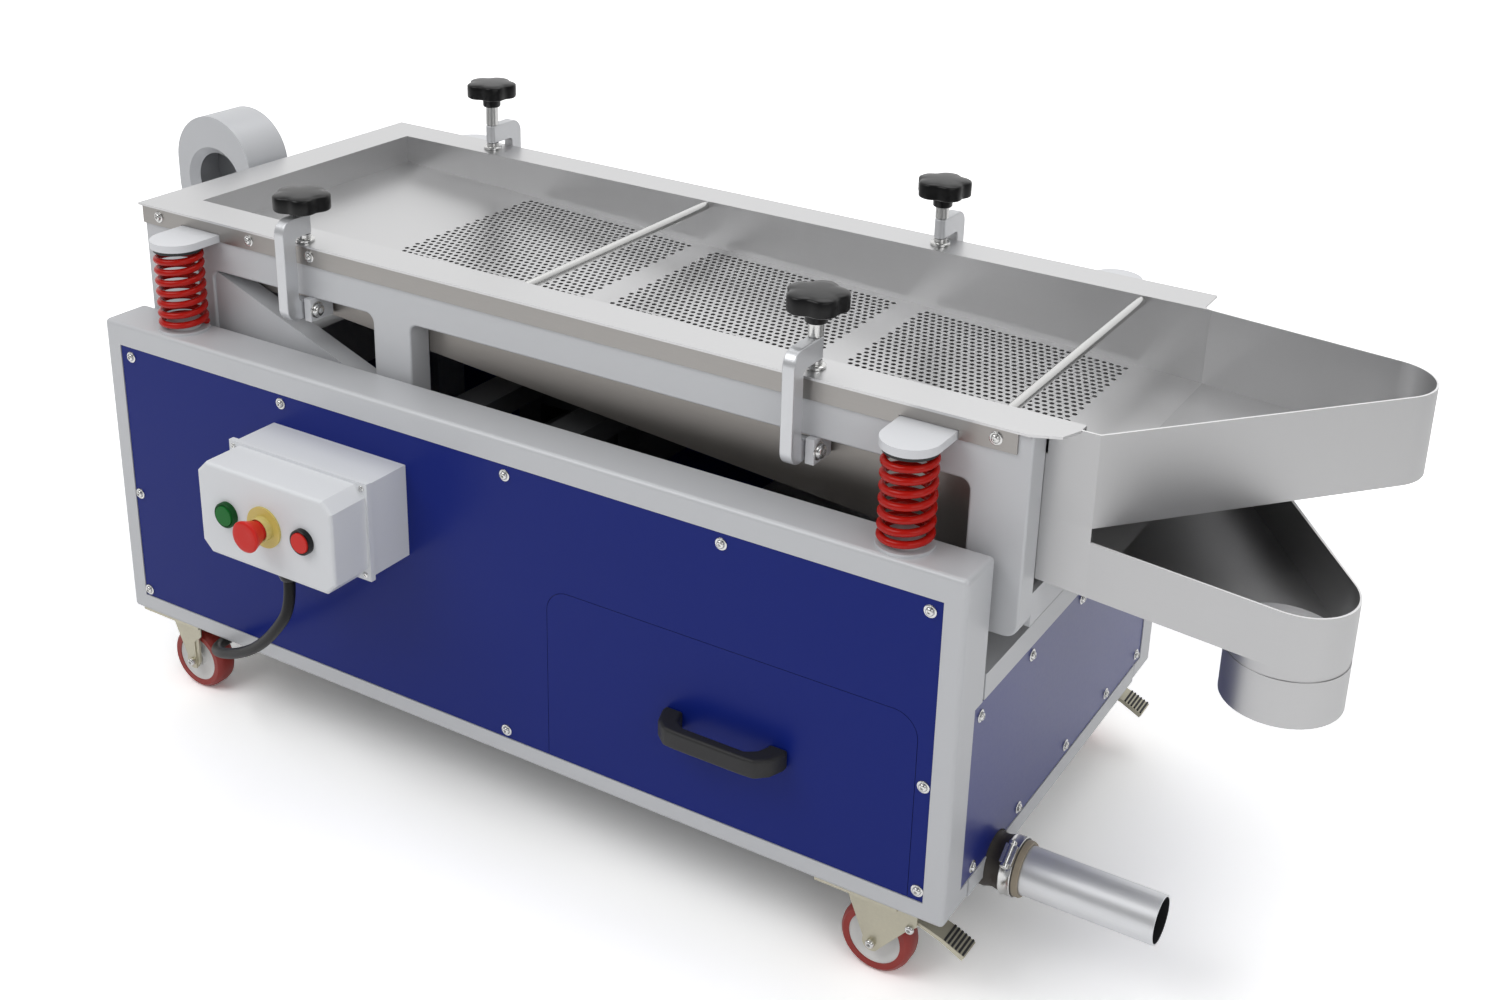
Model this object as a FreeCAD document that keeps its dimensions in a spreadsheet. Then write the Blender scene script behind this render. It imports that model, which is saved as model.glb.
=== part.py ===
"""Mobile vibrating screen: a wheeled base, four coil springs and a sprung screening body on top.

X runs along the machine from the feed end to the discharge chutes, Y from the control side to the
rear, Z up. Sizes are in millimetres. While the pieces are drawn, zero is the corner of the base frame
at its feed end, control side and lower edge. At the end everything is moved so that the origin lies on
the floor under the middle of the machine.
"""
import FreeCAD, Part
import Sketcher
import math
import os
import re

Vector = FreeCAD.Vector
Rotation = FreeCAD.Rotation
Placement = FreeCAD.Placement

SIZES = {
    # base frame
    "base_length": 1050.0,
    "base_width": 545.0,
    "base_height": 360.0,
    "beam_depth": 55.0,
    "top_rail": 27.0,
    "low_rail": 21.0,
    "post_face": 22.0,
    "panel_lap": 20.0,
    "panel_thickness": 2.0,
    "panel_rebate": 3.0,
    "panel_gap": 0.5,
    "frame_round": 5.0,
    "end_beam_drop": 119.0,
    "feed_rail_rise": 24.0,
    "end_beam_depth": 40.0,
    "end_panel_inset": 36.0,
    "floor_level": 32.0,
    "floor_thickness": 3.0,
    # drawer
    "drawer_end_margin": 38.0,
    "drawer_width": 408.0,
    "drawer_height": 192.0,
    "drawer_corner": 25.0,
    "drawer_depth": 400.0,
    "drawer_wall": 1.5,
    "drawer_side_inset": 22.0,
    "drawer_sill": 28.0,
    "drawer_rim": 40.0,
    "runner_gap": 0.5,
    "runner_wall": 2.0,
    "runner_ledge": 12.0,
    "handle_length": 136.0,
    "handle_reach": 34.0,
    "handle_bar": 20.0,
    "handle_level": 110.0,
    "handle_offset": 6.0,
    "handle_thickness": 11.0,
    # casters
    "caster_inset": 56.0,
    "caster_line": 37.0,
    "caster_height": 100.0,
    "plate_length": 88.0,
    "plate_breadth": 68.0,
    "plate_thickness": 3.0,
    "wheel_diameter": 75.0,
    "wheel_width": 25.0,
    "wheel_trail": 12.0,
    "wheel_side_gap": 1.5,
    "fork_sheet": 2.5,
    "brake_reach": 62.0,
    "brake_drop": 19.0,
    "brake_pedal": 24.0,
    "swivel_diameter": 50.0,
    "swivel_depth": 9.0,
    "running_gap": 0.3,
    "axle_diameter": 9.0,
    # springs
    "spring_diameter": 53.0,
    "spring_wire": 7.2,
    "spring_turns": 8.0,
    "spring_inset": 92.0,
    "spring_line": 30.0,
    "spring_end_inset": 76.0,
    "seat_thickness": 3.0,
    "washer_thickness": 4.0,
    "tongue_width": 56.0,
    "tongue_thickness": 8.0,
    "tongue_rise": 103.0,
    # screening body
    "body_start": 4.0,
    "body_overrun": 18.0,
    "body_inset": 64.0,
    "body_drop": 82.0,
    "rail_depth": 28.0,
    "rail_rise": 59.0,
    "flange_rise": 118.0,
    "flange_thickness": 2.5,
    "flange_overrun": 44.0,
    "flange_overhang": 4.0,
    "flange_width": 46.0,
    "tray_start": 50.0,
    "sheet": 2.0,
    "feed_post": 100.0,
    "mid_post_start": 334.0,
    "mid_post_width": 50.0,
    "end_post_width": 56.0,
    "sill_height": 22.0,
    "cutout_round": 10.0,
    "brace_drop": 27.0,
    "brace_inset": 3.0,
    "brace_thickness": 4.0,
    "end_plate_thickness": 5.0,
    "end_plate_height": 34.0,
    "deck_rise": 86.4,
    "deck_fall": 0.0439,
    "pan_rise": 50.5,
    "pan_fall": 0.0777,
    "pan_gap": 1.0,
    "rear_sill": 97.0,
    "corner_round": 14.0,
    "edge_round": 2.5,
    "apron_height": 20.0,
    "apron_thickness": 2.0,
    "rod_diameter": 10.0,
    "rod_shift": 26.0,
    "rod_inset": 21.0,
    # chutes
    "chute_gap": 26.0,
    "chute_side_lap": 20.0,
    "upper_nose_reach": 170.0,
    "upper_nose_inset": 179.0,
    "nose_radius": 50.0,
    "chute_rise": 30.0,
    "chute_floor_rise": 36.0,
    "outlet_radius": 40.0,
    "lower_nose_reach": 167.0,
    "lower_nose_radius": 54.0,
    "lower_rim_height": 53.0,
    "spout_radius": 54.0,
    "spout_neck": 0.8,
    "spout_sleeve": 45.0,
    "spout_drop": 105.0,
    # blower
    "scroll_radius": 60.0,
    "scroll_x": -80.0,
    "scroll_rise": 103.0,
    "scroll_drop": 28.0,
    "inlet_drop": 21.0,
    "duct_height": 38.0,
    "inlet_flare": 9.0,
    "scroll_width": 62.0,
    "inlet_radius": 34.0,
    # clamps
    "clamp_front_feed": 236.0,
    "clamp_rear_feed": 170.0,
    "clamp_front_end_inset": 203.0,
    "clamp_rear_end_inset": 261.0,
    "pivot_rise": 46.0,
    "clamp_rise": 148.0,
    "clamp_pivot_line": 66.0,
    "clamp_screw_line": 84.0,
    "near_screw_line": 72.0,
    "clamp_thickness": 13.0,
    "clamp_side_gap": 2.0,
    "lug_thickness": 9.0,
    "lug_depth": 32.0,
    "lug_front": 58.0,
    "clamp_web": 18.0,
    "clamp_reach_gap": 6.0,
    "clamp_leg": 22.0,
    "clamp_end_radius": 11.0,
    "clamp_corner": 16.0,
    "clamp_edge": 1.5,
    "pivot_head": 7.0,
    "collar_diameter": 15.0,
    "pivot_diameter": 8.0,
    "screw_diameter": 10.0,
    "knob_diameter": 60.0,
    "knob_rise": 24.0,
    "near_knob_rise": 3.0,
    "far_knob_rise": 34.0,
    "knob_height": 21.0,
    "foot_diameter": 22.0,
    "foot_thickness": 3.0,
    # control box
    "box_start": 248.0,
    "box_width": 180.0,
    "box_level": 196.0,
    "box_height": 102.0,
    "box_depth": 105.0,
    "box_seam": 55.0,
    "box_lip": 3.0,
    "box_corner": 12.0,
    "box_edge": 4.0,
    "stop_line": 338.0,
    "button_spacing_feed": 50.0,
    "button_spacing_end": 52.0,
    "button_level": 248.0,
    "button_diameter": 22.0,
    "mushroom_diameter": 34.0,
    "mushroom_height": 18.0,
    "ring_diameter": 44.0,
    "button_travel": 3.0,
    # drain pipe
    "pipe_overrun": 167.0,
    "socket_inset": 50.0,
    "socket_overrun": 34.0,
    "pipe_line": 116.0,
    "pipe_level": 4.0,
    "pipe_diameter": 48.0,
    "pipe_wall": 2.0,
    "socket_wall": 4.0,
    "clip_width": 14.0,
    "pipe_step": 0.5,
    # vibration motor
    "motor_shift": 45.0,
    "motor_drop": 128.0,
    "motor_beam_spacing": 124.0,
    "motor_diameter": 105.0,
    "motor_length": 210.0,
    "motor_beam_depth": 40.0,
    # cable
    "cable_diameter": 12.0,
    "gland_diameter": 22.0,
}

# Places and levels that follow from the sizes above
LINKED = {
    "end_beam_top": "base_height - end_beam_drop",
    "drawer_start": "base_length - drawer_end_margin - drawer_width",
    "tongue_top": "base_height + tongue_rise",
    "body_length": "base_length + body_overrun",
    "body_bottom": "base_height - body_drop",
    "rail_bottom": "base_height + rail_rise",
    "flange_top": "base_height + flange_rise",
    "flange_length": "base_length + flange_overrun",
    "brace_foot": "base_height - brace_drop",
    "deck_level": "base_height + deck_rise",
    "pan_level": "base_height + pan_rise",
    "rod_one": "base_length / 2 - rod_shift",
    "rod_two": "base_length - rod_inset",
    "chute_start": "flange_length + chute_gap",
    "chute_side_start": "flange_length - chute_side_lap",
    "upper_nose_x": "chute_start + upper_nose_reach",
    "upper_nose_y": "base_width - upper_nose_inset",
    "upper_chute_edge": "base_height + chute_rise",
    "upper_floor_level": "base_height + chute_floor_rise",
    "lower_nose_x": "chute_start + lower_nose_reach",
    "lower_nose_y": "body_inset + rail_depth + pan_gap + lower_nose_radius",
    "spout_x": "lower_nose_x",
    "spout_bottom": "base_height - spout_drop",
    "scroll_z": "base_height + scroll_rise",
    "clamp_front_end": "base_length - clamp_front_end_inset",
    "clamp_rear_end": "base_length - clamp_rear_end_inset",
    "clamp_pivot_level": "base_height + pivot_rise",
    "clamp_top": "base_height + clamp_rise",
    "knob_bottom": "clamp_top + knob_rise",
    "near_knob_bottom": "clamp_top + near_knob_rise",
    "far_knob_bottom": "clamp_top + far_knob_rise",
    "socket_start": "base_length - socket_inset",
    "socket_end": "base_length + socket_overrun",
    "pipe_end": "base_length + pipe_overrun",
    "motor_x": "base_length / 2 - motor_shift",
    "motor_level": "base_height - motor_drop",
}

doc = FreeCAD.newDocument("VibratingScreen")
sheet = doc.addObject("Spreadsheet::Sheet", "Sizes")
for row, (alias, number) in enumerate(SIZES.items(), start=1):
    sheet.set(f"A{row}", alias.replace("_", " "))
    sheet.set(f"B{row}", str(number))
    sheet.setAlias(f"B{row}", alias)
doc.recompute()
for row, (alias, words) in enumerate(LINKED.items(), start=len(SIZES) + 1):
    sheet.set(f"A{row}", alias.replace("_", " "))
    sheet.set(f"B{row}", f"={words}")
    sheet.setAlias(f"B{row}", alias)
    doc.recompute()

pieces = {}


def formula(words):
    """Turn sheet names in a formula into cell references."""
    return re.sub(r"[a-z][a-z_]*", lambda found: "Sizes." + found.group(0), str(words))


def size(words):
    """Work out a formula of sheet names as a number."""
    return float(sheet.evalExpression(formula(words)))


def new_body(name):
    body = doc.addObject("PartDesign::Body", name)
    body.Label = name
    pieces[name] = body
    return body


def plane_of(body, role):
    return next(item for item in body.Origin.OriginFeatures if item.Role == role + "_Plane")


def sketch(body, role, loops, start="0"):
    """Draw closed loops on an origin plane of the body. Every vertex is bound to the sheet.

    A loop is a list of (along, up) formulas, or ("circle", along, up, radius).
    """
    drawing = body.newObject("Sketcher::SketchObject", body.Name + "_sketch")
    drawing.AttachmentSupport = [(plane_of(body, role), "")]
    drawing.MapMode = "FlatFace"
    shift = f"-({start})" if role == "XZ" else start
    drawing.setExpression("AttachmentOffset.Base.z", formula(shift))
    for loop in loops:
        if loop[0] == "circle":
            draw_circle(drawing, *loop[1:])
        else:
            draw_polygon(drawing, loop)
    return drawing


def draw_circle(drawing, along, up, radius):
    centre = Vector(size(along), size(up), 0)
    index = drawing.addGeometry(Part.Circle(centre, Vector(0, 0, 1), size(radius)), False)
    for kind, words in (("DistanceX", along), ("DistanceY", up)):
        number = drawing.addConstraint(Sketcher.Constraint(kind, -1, 1, index, 3, size(words)))
        drawing.setExpression(f"Constraints[{number}]", formula(words))
    number = drawing.addConstraint(Sketcher.Constraint("Radius", index, size(radius)))
    drawing.setExpression(f"Constraints[{number}]", formula(radius))


def draw_polygon(drawing, corners):
    places = [Vector(size(along), size(up), 0) for along, up in corners]
    first = drawing.GeometryCount
    count = len(places)
    for step in range(count):
        drawing.addGeometry(Part.LineSegment(places[step], places[(step + 1) % count]), False)
    for step in range(count):
        following = first + (step + 1) % count
        drawing.addConstraint(Sketcher.Constraint("Coincident", first + step, 2, following, 1))
    for step, (along, up) in enumerate(corners):
        for kind, words in (("DistanceX", along), ("DistanceY", up)):
            fixed = Sketcher.Constraint(kind, -1, 1, first + step, 1, size(words))
            number = drawing.addConstraint(fixed)
            drawing.setExpression(f"Constraints[{number}]", formula(words))


def rectangle(left, right, bottom, top):
    return [(left, bottom), (right, bottom), (right, top), (left, top)]


def pad(body, role, loops, start, length):
    """Add material from a plane at start, for a length along the positive axis."""
    feature = body.newObject("PartDesign::Pad", body.Name + "_pad")
    feature.Profile = sketch(body, role, loops, start)
    feature.setExpression("Length", formula(length))
    feature.Reversed = role == "XZ"
    doc.recompute()
    return feature


def pocket(body, role, loops, start, length):
    """Cut material from a plane at start, for a length along the positive axis."""
    before = body.Shape.Volume
    feature = body.newObject("PartDesign::Pocket", body.Name + "_pocket")
    feature.Profile = sketch(body, role, loops, start)
    feature.setExpression("Length", formula(length))
    feature.Reversed = role != "XZ"
    doc.recompute()
    if not body.Shape.Volume < before:
        raise RuntimeError(f"{body.Label}: a pocket cut nothing")
    return feature


def soften(body, radius, wanted, kind="Fillet"):
    """Round or chamfer the edges of the body's tip whose middle point passes the test."""
    tip = body.Tip
    names = []
    for number, edge in enumerate(tip.Shape.Edges, start=1):
        middle = edge.valueAt((edge.FirstParameter + edge.LastParameter) / 2)
        if wanted(middle, edge):
            names.append(f"Edge{number}")
    if not names:
        raise RuntimeError(f"{body.Label}: no edge to soften")
    feature = body.newObject(f"PartDesign::{kind}", body.Name + "_soft")
    feature.Base = (tip, names)
    feature.setExpression("Radius" if kind == "Fillet" else "Size", formula(radius))
    doc.recompute()
    return feature


def runs_along(edge, axis):
    """Tell whether a straight edge is parallel to an axis, given as X, Y or Z."""
    if len(edge.Vertexes) < 2:
        return False
    first = edge.Vertexes[0].Point
    last = edge.Vertexes[-1].Point
    step = last - first
    return abs(abs(getattr(step, axis.lower())) - step.Length) < 1e-6 and step.Length > 1e-6


def shape_piece(name, shape):
    """Keep a shape made with plain solid operations as a piece of its own."""
    piece = doc.addObject("Part::Feature", name)
    piece.Label = name
    piece.Shape = shape
    pieces[name] = piece
    return piece


def block(low, high):
    """A box between two corners given as formulas."""
    start = Vector(*[size(words) for words in low])
    end = Vector(*[size(words) for words in high])
    step = end - start
    return Part.makeBox(step.x, step.y, step.z, start)


def cylinder(radius, length, base, axis):
    return Part.makeCylinder(size(radius), size(length), Vector(*[size(words) for words in base]), axis)


def extruded(points, plane, start, length):
    """A prism over a closed outline of number pairs, drawn in XY, XZ or YZ."""
    if plane == "XY":
        places = [Vector(a, b, start) for a, b in points]
        along = Vector(0, 0, length)
    elif plane == "XZ":
        places = [Vector(a, start, b) for a, b in points]
        along = Vector(0, length, 0)
    else:
        places = [Vector(start, a, b) for a, b in points]
        along = Vector(length, 0, 0)
    return Part.Face(Part.makePolygon(places + places[:1])).extrude(along)


ALONG_X = Vector(1, 0, 0)
ALONG_Y = Vector(0, 1, 0)
UP = Vector(0, 0, 1)


# Base: welded side frames, end rails, panels and floor
def side_frame(name):
    """One long side of the base: a rounded frame with a rebate for the blue panel and the end panels."""
    body = new_body(name)
    outer = rectangle("0", "base_length", "0", "base_height")
    inner = rectangle(
        "post_face + panel_lap",
        "base_length - post_face - panel_lap",
        "low_rail + panel_lap",
        "base_height - top_rail - panel_lap",
    )
    pad(body, "XZ", [outer, inner], "0", "beam_depth")
    length, depth, height = size("base_length"), size("beam_depth"), size("base_height")

    def outside(middle, edge):
        ends = min(middle.x, length - middle.x) < 0.01
        levels = min(middle.z, height - middle.z) < 0.01
        faces = min(middle.y, depth - middle.y) < 0.01
        return ends + levels + faces >= 2

    soften(body, "frame_round", outside)
    recess = rectangle(
        "post_face - panel_gap",
        "base_length - post_face + panel_gap",
        "low_rail - panel_gap",
        "base_height - top_rail + panel_gap",
    )
    pocket(body, "XZ", [recess], "0", "panel_rebate")
    end_recess = rectangle(
        "end_panel_inset - panel_gap",
        "beam_depth",
        "low_rail - panel_gap",
        "end_beam_top - top_rail + panel_gap",
    )
    pocket(body, "YZ", [end_recess], "0", "panel_rebate")
    pocket(body, "YZ", [end_recess], "base_length - panel_rebate", "panel_rebate")
    return body


side_one = side_frame("base_side")


def end_rails():
    """Cross rails between the side frames, set low for the body; the feed end has a taller upper one."""
    rails = []
    depth = size("end_beam_depth")
    tops = {0.0: "end_beam_top + feed_rail_rise", size("base_length") - depth: "end_beam_top"}
    for start, upper in tops.items():
        for bottom, top in (
            ("0", "low_rail + panel_lap"),
            ("end_beam_top - top_rail - panel_lap", upper),
        ):
            low = Vector(start, size("beam_depth"), size(bottom))
            width = size("base_width - 2 * beam_depth")
            rail = Part.makeBox(depth, width, size(top) - size(bottom), low)
            rails.append(rail)
    recess_depth = size("panel_rebate")
    for start in (0.0, size("base_length") - recess_depth):
        bottom = size("low_rail - panel_gap")
        top = size("end_beam_top - top_rail + panel_gap")
        recess = Part.makeBox(
            recess_depth, size("base_width"), top - bottom, Vector(start, 0, bottom)
        )
        rails = [rail.cut(recess) for rail in rails]
    notch = cylinder(
        "pipe_diameter / 2 + socket_wall + running_gap",
        "base_length",
        ("base_length / 2", "pipe_line", "pipe_level"),
        ALONG_X,
    )
    return [rail.cut(notch) for rail in rails]


def base_frame():
    """Both side frames and the end rails, welded into one."""
    middle = Vector(0, size("base_width / 2"), 0)
    side_two = side_one.Shape.mirror(middle, ALONG_Y)
    shape_piece("base_frame", side_one.Shape.fuse([side_two] + end_rails()).removeSplitter())
    del pieces["base_side"]


base_frame()


def front_panel():
    """Blue sheet in the front rebate, open where the drawer front closes flush with it."""
    body = new_body("front_panel")
    left = "drawer_start - panel_gap"
    right = "drawer_start + drawer_width + panel_gap"
    top = "low_rail + drawer_height + panel_gap"
    outline = [
        ("post_face", "low_rail"),
        (left, "low_rail"),
        (left, top),
        (right, top),
        (right, "low_rail"),
        ("base_length - post_face", "low_rail"),
        ("base_length - post_face", "base_height - top_rail"),
        ("post_face", "base_height - top_rail"),
    ]
    pad(body, "XZ", [outline], "panel_rebate - panel_thickness", "panel_thickness")
    level = size(top)
    soften(
        body,
        "drawer_corner + panel_gap",
        lambda middle, edge: runs_along(edge, "Y") and abs(middle.z - level) < 0.01,
    )


def rear_panel():
    body = new_body("rear_panel")
    outline = rectangle(
        "post_face", "base_length - post_face", "low_rail", "base_height - top_rail"
    )
    pad(body, "XZ", [outline], "base_width - panel_rebate", "panel_thickness")


def end_panel(name, start):
    body = new_body(name)
    outline = rectangle(
        "end_panel_inset", "base_width - end_panel_inset", "low_rail", "end_beam_top - top_rail"
    )
    pad(body, "YZ", [outline], start, "panel_thickness")
    return body


front_panel()
rear_panel()
end_panel("feed_end_panel", "panel_rebate - panel_thickness")
pipe_side = end_panel("discharge_end_panel", "base_length - panel_rebate")
pocket(
    pipe_side,
    "YZ",
    [("circle", "pipe_line", "pipe_level", "pipe_diameter / 2 + socket_wall + panel_gap")],
    "base_length - 2 * panel_rebate",
    "3 * panel_rebate",
)


def base_floor():
    body = new_body("base_floor")
    outline = rectangle(
        "end_beam_depth", "base_length - end_beam_depth", "beam_depth", "base_width - beam_depth"
    )
    pad(body, "XY", [outline], "floor_level", "floor_thickness")


base_floor()


# Drawer with its runners and handle
TRAY_LEFT = "drawer_start + drawer_side_inset"
TRAY_RIGHT = "drawer_start + drawer_width - drawer_side_inset"
TRAY_BOTTOM = "low_rail + drawer_sill"
TRAY_TOP = "low_rail + drawer_height - drawer_rim"
FLOOR_TOP = "floor_level + floor_thickness"


def drawer_front():
    body = new_body("drawer_front")
    outline = rectangle(
        "drawer_start", "drawer_start + drawer_width", "low_rail", "low_rail + drawer_height"
    )
    pad(body, "XZ", [outline], "panel_rebate - panel_thickness", "panel_thickness")
    level = size("low_rail + drawer_height")
    soften(
        body,
        "drawer_corner",
        lambda middle, edge: runs_along(edge, "Y") and abs(middle.z - level) < 0.01,
    )


def drawer_tray():
    """Folded sheet tray behind the drawer front, open at the top."""
    body = new_body("drawer_tray")
    pad(
        body,
        "XY",
        [rectangle(TRAY_LEFT, TRAY_RIGHT, "panel_rebate", "panel_rebate + drawer_depth")],
        TRAY_BOTTOM,
        f"({TRAY_TOP}) - ({TRAY_BOTTOM})",
    )
    inside = rectangle(
        f"{TRAY_LEFT} + drawer_wall",
        f"{TRAY_RIGHT} - drawer_wall",
        "panel_rebate + drawer_wall",
        "panel_rebate + drawer_depth - drawer_wall",
    )
    pocket(body, "XY", [inside], f"{TRAY_BOTTOM} + drawer_wall", "drawer_height")


def drawer_runners():
    """Two folded runners on the base floor, with a ledge under each side of the drawer."""
    runners = []
    start, length = size("beam_depth"), size("base_width - 2 * beam_depth")
    wall = size("runner_wall")
    ledge = size("runner_ledge")
    floor = size(FLOOR_TOP)
    top = size(TRAY_BOTTOM) + ledge
    seat = size(TRAY_BOTTOM) - size("running_gap")
    for side, edge in ((1, size(TRAY_LEFT)), (-1, size(TRAY_RIGHT))):
        face = edge - side * size("runner_gap")
        outline = [
            (face, top),
            (face - side * wall, top),
            (face - side * wall, floor + wall),
            (face - side * ledge, floor + wall),
            (face - side * ledge, floor),
            (face, floor),
            (face, seat - wall),
            (face + side * ledge, seat - wall),
            (face + side * ledge, seat),
            (face, seat),
        ]
        runners.append(extruded(outline, "XZ", start, length))
    shape_piece("drawer_runners", Part.makeCompound(runners))


def drawer_handle():
    """Bridge handle of moulded plastic: two raked legs and a flat grip bar."""
    body = new_body("drawer_handle")
    middle = "(drawer_start + drawer_width / 2 + handle_offset)"
    face = "panel_rebate - panel_thickness"
    reach = f"({face} - handle_reach)"
    outline = [
        (f"{middle} - handle_length / 2", face),
        (f"{middle} - handle_length / 2", f"{face} - handle_reach * 0.35"),
        (f"{middle} - handle_length / 2 + handle_reach * 0.55", reach),
        (f"{middle} + handle_length / 2 - handle_reach * 0.55", reach),
        (f"{middle} + handle_length / 2", f"{face} - handle_reach * 0.35"),
        (f"{middle} + handle_length / 2", face),
        (f"{middle} + handle_length / 2 - handle_bar", face),
        (f"{middle} + handle_length / 2 - handle_bar", f"{face} - handle_reach * 0.3"),
        (
            f"{middle} + handle_length / 2 - handle_bar - handle_reach * 0.3",
            f"{reach} + handle_thickness",
        ),
        (
            f"{middle} - handle_length / 2 + handle_bar + handle_reach * 0.3",
            f"{reach} + handle_thickness",
        ),
        (f"{middle} - handle_length / 2 + handle_bar", f"{face} - handle_reach * 0.3"),
        (f"{middle} - handle_length / 2 + handle_bar", face),
    ]
    pad(body, "XY", [outline], "handle_level", "handle_bar")


drawer_front()
drawer_tray()
drawer_runners()
drawer_handle()


# Casters: a top plate on the frame, a swivelling fork and a wheel
CASTER_X = {
    "feed": "caster_inset",
    "end": "base_length - caster_inset - 2 * wheel_trail - 12",
}
CASTER_Y = {"front": "caster_line", "rear": "base_width - caster_line"}
AXLE_LEVEL = "wheel_diameter / 2 - caster_height"


def each_caster():
    for line in CASTER_Y:
        for end in CASTER_X:
            yield f"{line}_{end}", size(CASTER_X[end]), size(CASTER_Y[line])


def caster_plates():
    """Top plates against the underside of the frame, each with the fixed race and its centre pin."""
    plates = []
    length, breadth = size("plate_length"), size("plate_breadth")
    thick = size("plate_thickness")
    for name, x, y in each_caster():
        plate = Part.makeBox(
            length, breadth, thick, Vector(x - length / 2, y - breadth / 2, -thick)
        )
        race = Part.makeCylinder(
            size("swivel_diameter / 2"), size("swivel_depth / 2"), Vector(x, y, -thick), -UP
        )
        pin = Part.makeCylinder(
            size("axle_diameter / 2"), size("swivel_depth + fork_sheet"), Vector(x, y, -thick), -UP
        )
        plates.append(plate.fuse([race, pin]).removeSplitter())
    shape_piece("caster_plates", Part.makeCompound(plates))


def brake_lever(x, y, z):
    """Brake lever of a caster: a folded strap over the wheel that ends in a foot pedal."""
    reach, drop = size("brake_reach"), size("brake_drop")
    metal = size("fork_sheet")
    pedal = size("brake_pedal")
    outline = [
        (x - 8, z),
        (x, z),
        (x + reach, z - drop),
        (x + reach + pedal, z - drop - pedal * 0.45),
        (x + reach + pedal - 3, z - drop - pedal * 0.45 - 5),
        (x + reach - 2, z - drop - 4),
        (x, z - metal),
        (x - 8, z - metal),
    ]
    wide = size("wheel_width")
    return extruded(outline, "XZ", y - wide / 2, wide)


def caster_fork(name, x, y):
    """Pressed fork: a crown with a hole for the centre pin and two legs down to the axle."""
    crown_top = -size("plate_thickness + swivel_depth / 2 + running_gap")
    crown_depth = size("swivel_depth / 2")
    leg_gap = size("wheel_width / 2 + wheel_side_gap")
    sheet_thick = size("fork_sheet")
    axle_z = size(AXLE_LEVEL)
    axle_x = x + size("wheel_trail")
    crown_radius = size("swivel_diameter / 2")
    crown = Part.makeCylinder(crown_radius, crown_depth, Vector(x, y, crown_top), -UP)
    leg_top = crown_top - crown_depth
    ear = size("axle_diameter")
    solids = [crown]
    for side in (-1, 1):
        start = y + (leg_gap if side > 0 else -leg_gap - sheet_thick)
        outline = [
            (x - crown_radius * 0.75, leg_top + 1),
            (x + crown_radius * 0.9, leg_top + 1),
            (axle_x + ear, axle_z),
            (axle_x + ear * 0.5, axle_z - ear * 0.87),
            (axle_x - ear * 0.5, axle_z - ear * 0.87),
            (axle_x - ear, axle_z),
        ]
        solids.append(extruded(outline, "XZ", start, sheet_thick))
    bridge_width = 2 * (leg_gap + sheet_thick)
    bridge = Part.makeBox(
        crown_radius * 1.6,
        bridge_width,
        sheet_thick,
        Vector(x - crown_radius * 0.72, y - bridge_width / 2, leg_top - sheet_thick + 1),
    )
    solids.append(bridge)
    axle_length = 2 * (leg_gap + sheet_thick) + 8
    axle = Part.makeCylinder(
        size("axle_diameter / 2"),
        axle_length,
        Vector(axle_x, y - axle_length / 2, axle_z),
        ALONG_Y,
    )
    solids.append(axle)
    if name.endswith("end"):
        solids.append(brake_lever(x + crown_radius * 0.8, y, leg_top))
    fork = solids[0].fuse(solids[1:]).removeSplitter()
    hole = Part.makeCylinder(
        size("axle_diameter / 2 + running_gap"), 40, Vector(x, y, crown_top + 1), -UP
    )
    shape_piece(f"caster_fork_{name}", fork.cut(hole))


def caster_wheel(name, x, y):
    """Moulded wheel with a crowned tread, a recessed disc and a bored hub."""
    body = new_body(f"caster_wheel_{name}")
    half = "wheel_width / 2"
    bore = "axle_diameter / 2 + running_gap"
    outline = [
        (bore, f"-({half}) + 1"),
        ("axle_diameter", f"-({half}) + 1"),
        ("axle_diameter", f"-({half}) + 4"),
        ("wheel_diameter / 2 - 12", f"-({half}) + 4"),
        ("wheel_diameter / 2 - 11", f"-({half})"),
        ("wheel_diameter / 2 - 4", f"-({half})"),
        ("wheel_diameter / 2", f"-({half}) + 5"),
        ("wheel_diameter / 2", f"{half} - 5"),
        ("wheel_diameter / 2 - 4", half),
        ("wheel_diameter / 2 - 11", half),
        ("wheel_diameter / 2 - 12", f"{half} - 4"),
        ("axle_diameter", f"{half} - 4"),
        ("axle_diameter", f"{half} - 1"),
        (bore, f"{half} - 1"),
    ]
    profile = sketch(body, "XY", [outline])
    turn = body.newObject("PartDesign::Revolution", body.Name + "_turn")
    turn.Profile = profile
    turn.ReferenceAxis = (profile, ["V_Axis"])
    turn.Angle = 360
    doc.recompute()
    place = Vector(x + size("wheel_trail"), y, size(AXLE_LEVEL))
    body.Placement = Placement(place, Rotation())


caster_plates()
for caster, caster_x, caster_y in each_caster():
    caster_fork(caster, caster_x, caster_y)
    caster_wheel(caster, caster_x, caster_y)


# Springs between the base and the body
SPRING_X = {"feed": "spring_inset", "end": "base_length - spring_end_inset"}
SPRING_Y = {"front": "spring_line", "rear": "base_width - spring_line"}
SPRING_BOTTOM = "base_height + seat_thickness"
SPRING_TOP = "tongue_top - tongue_thickness - washer_thickness"


def each_spring():
    for line in SPRING_Y:
        for end in SPRING_X:
            yield f"{line}_{end}", size(SPRING_X[end]), size(SPRING_Y[line])


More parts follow.
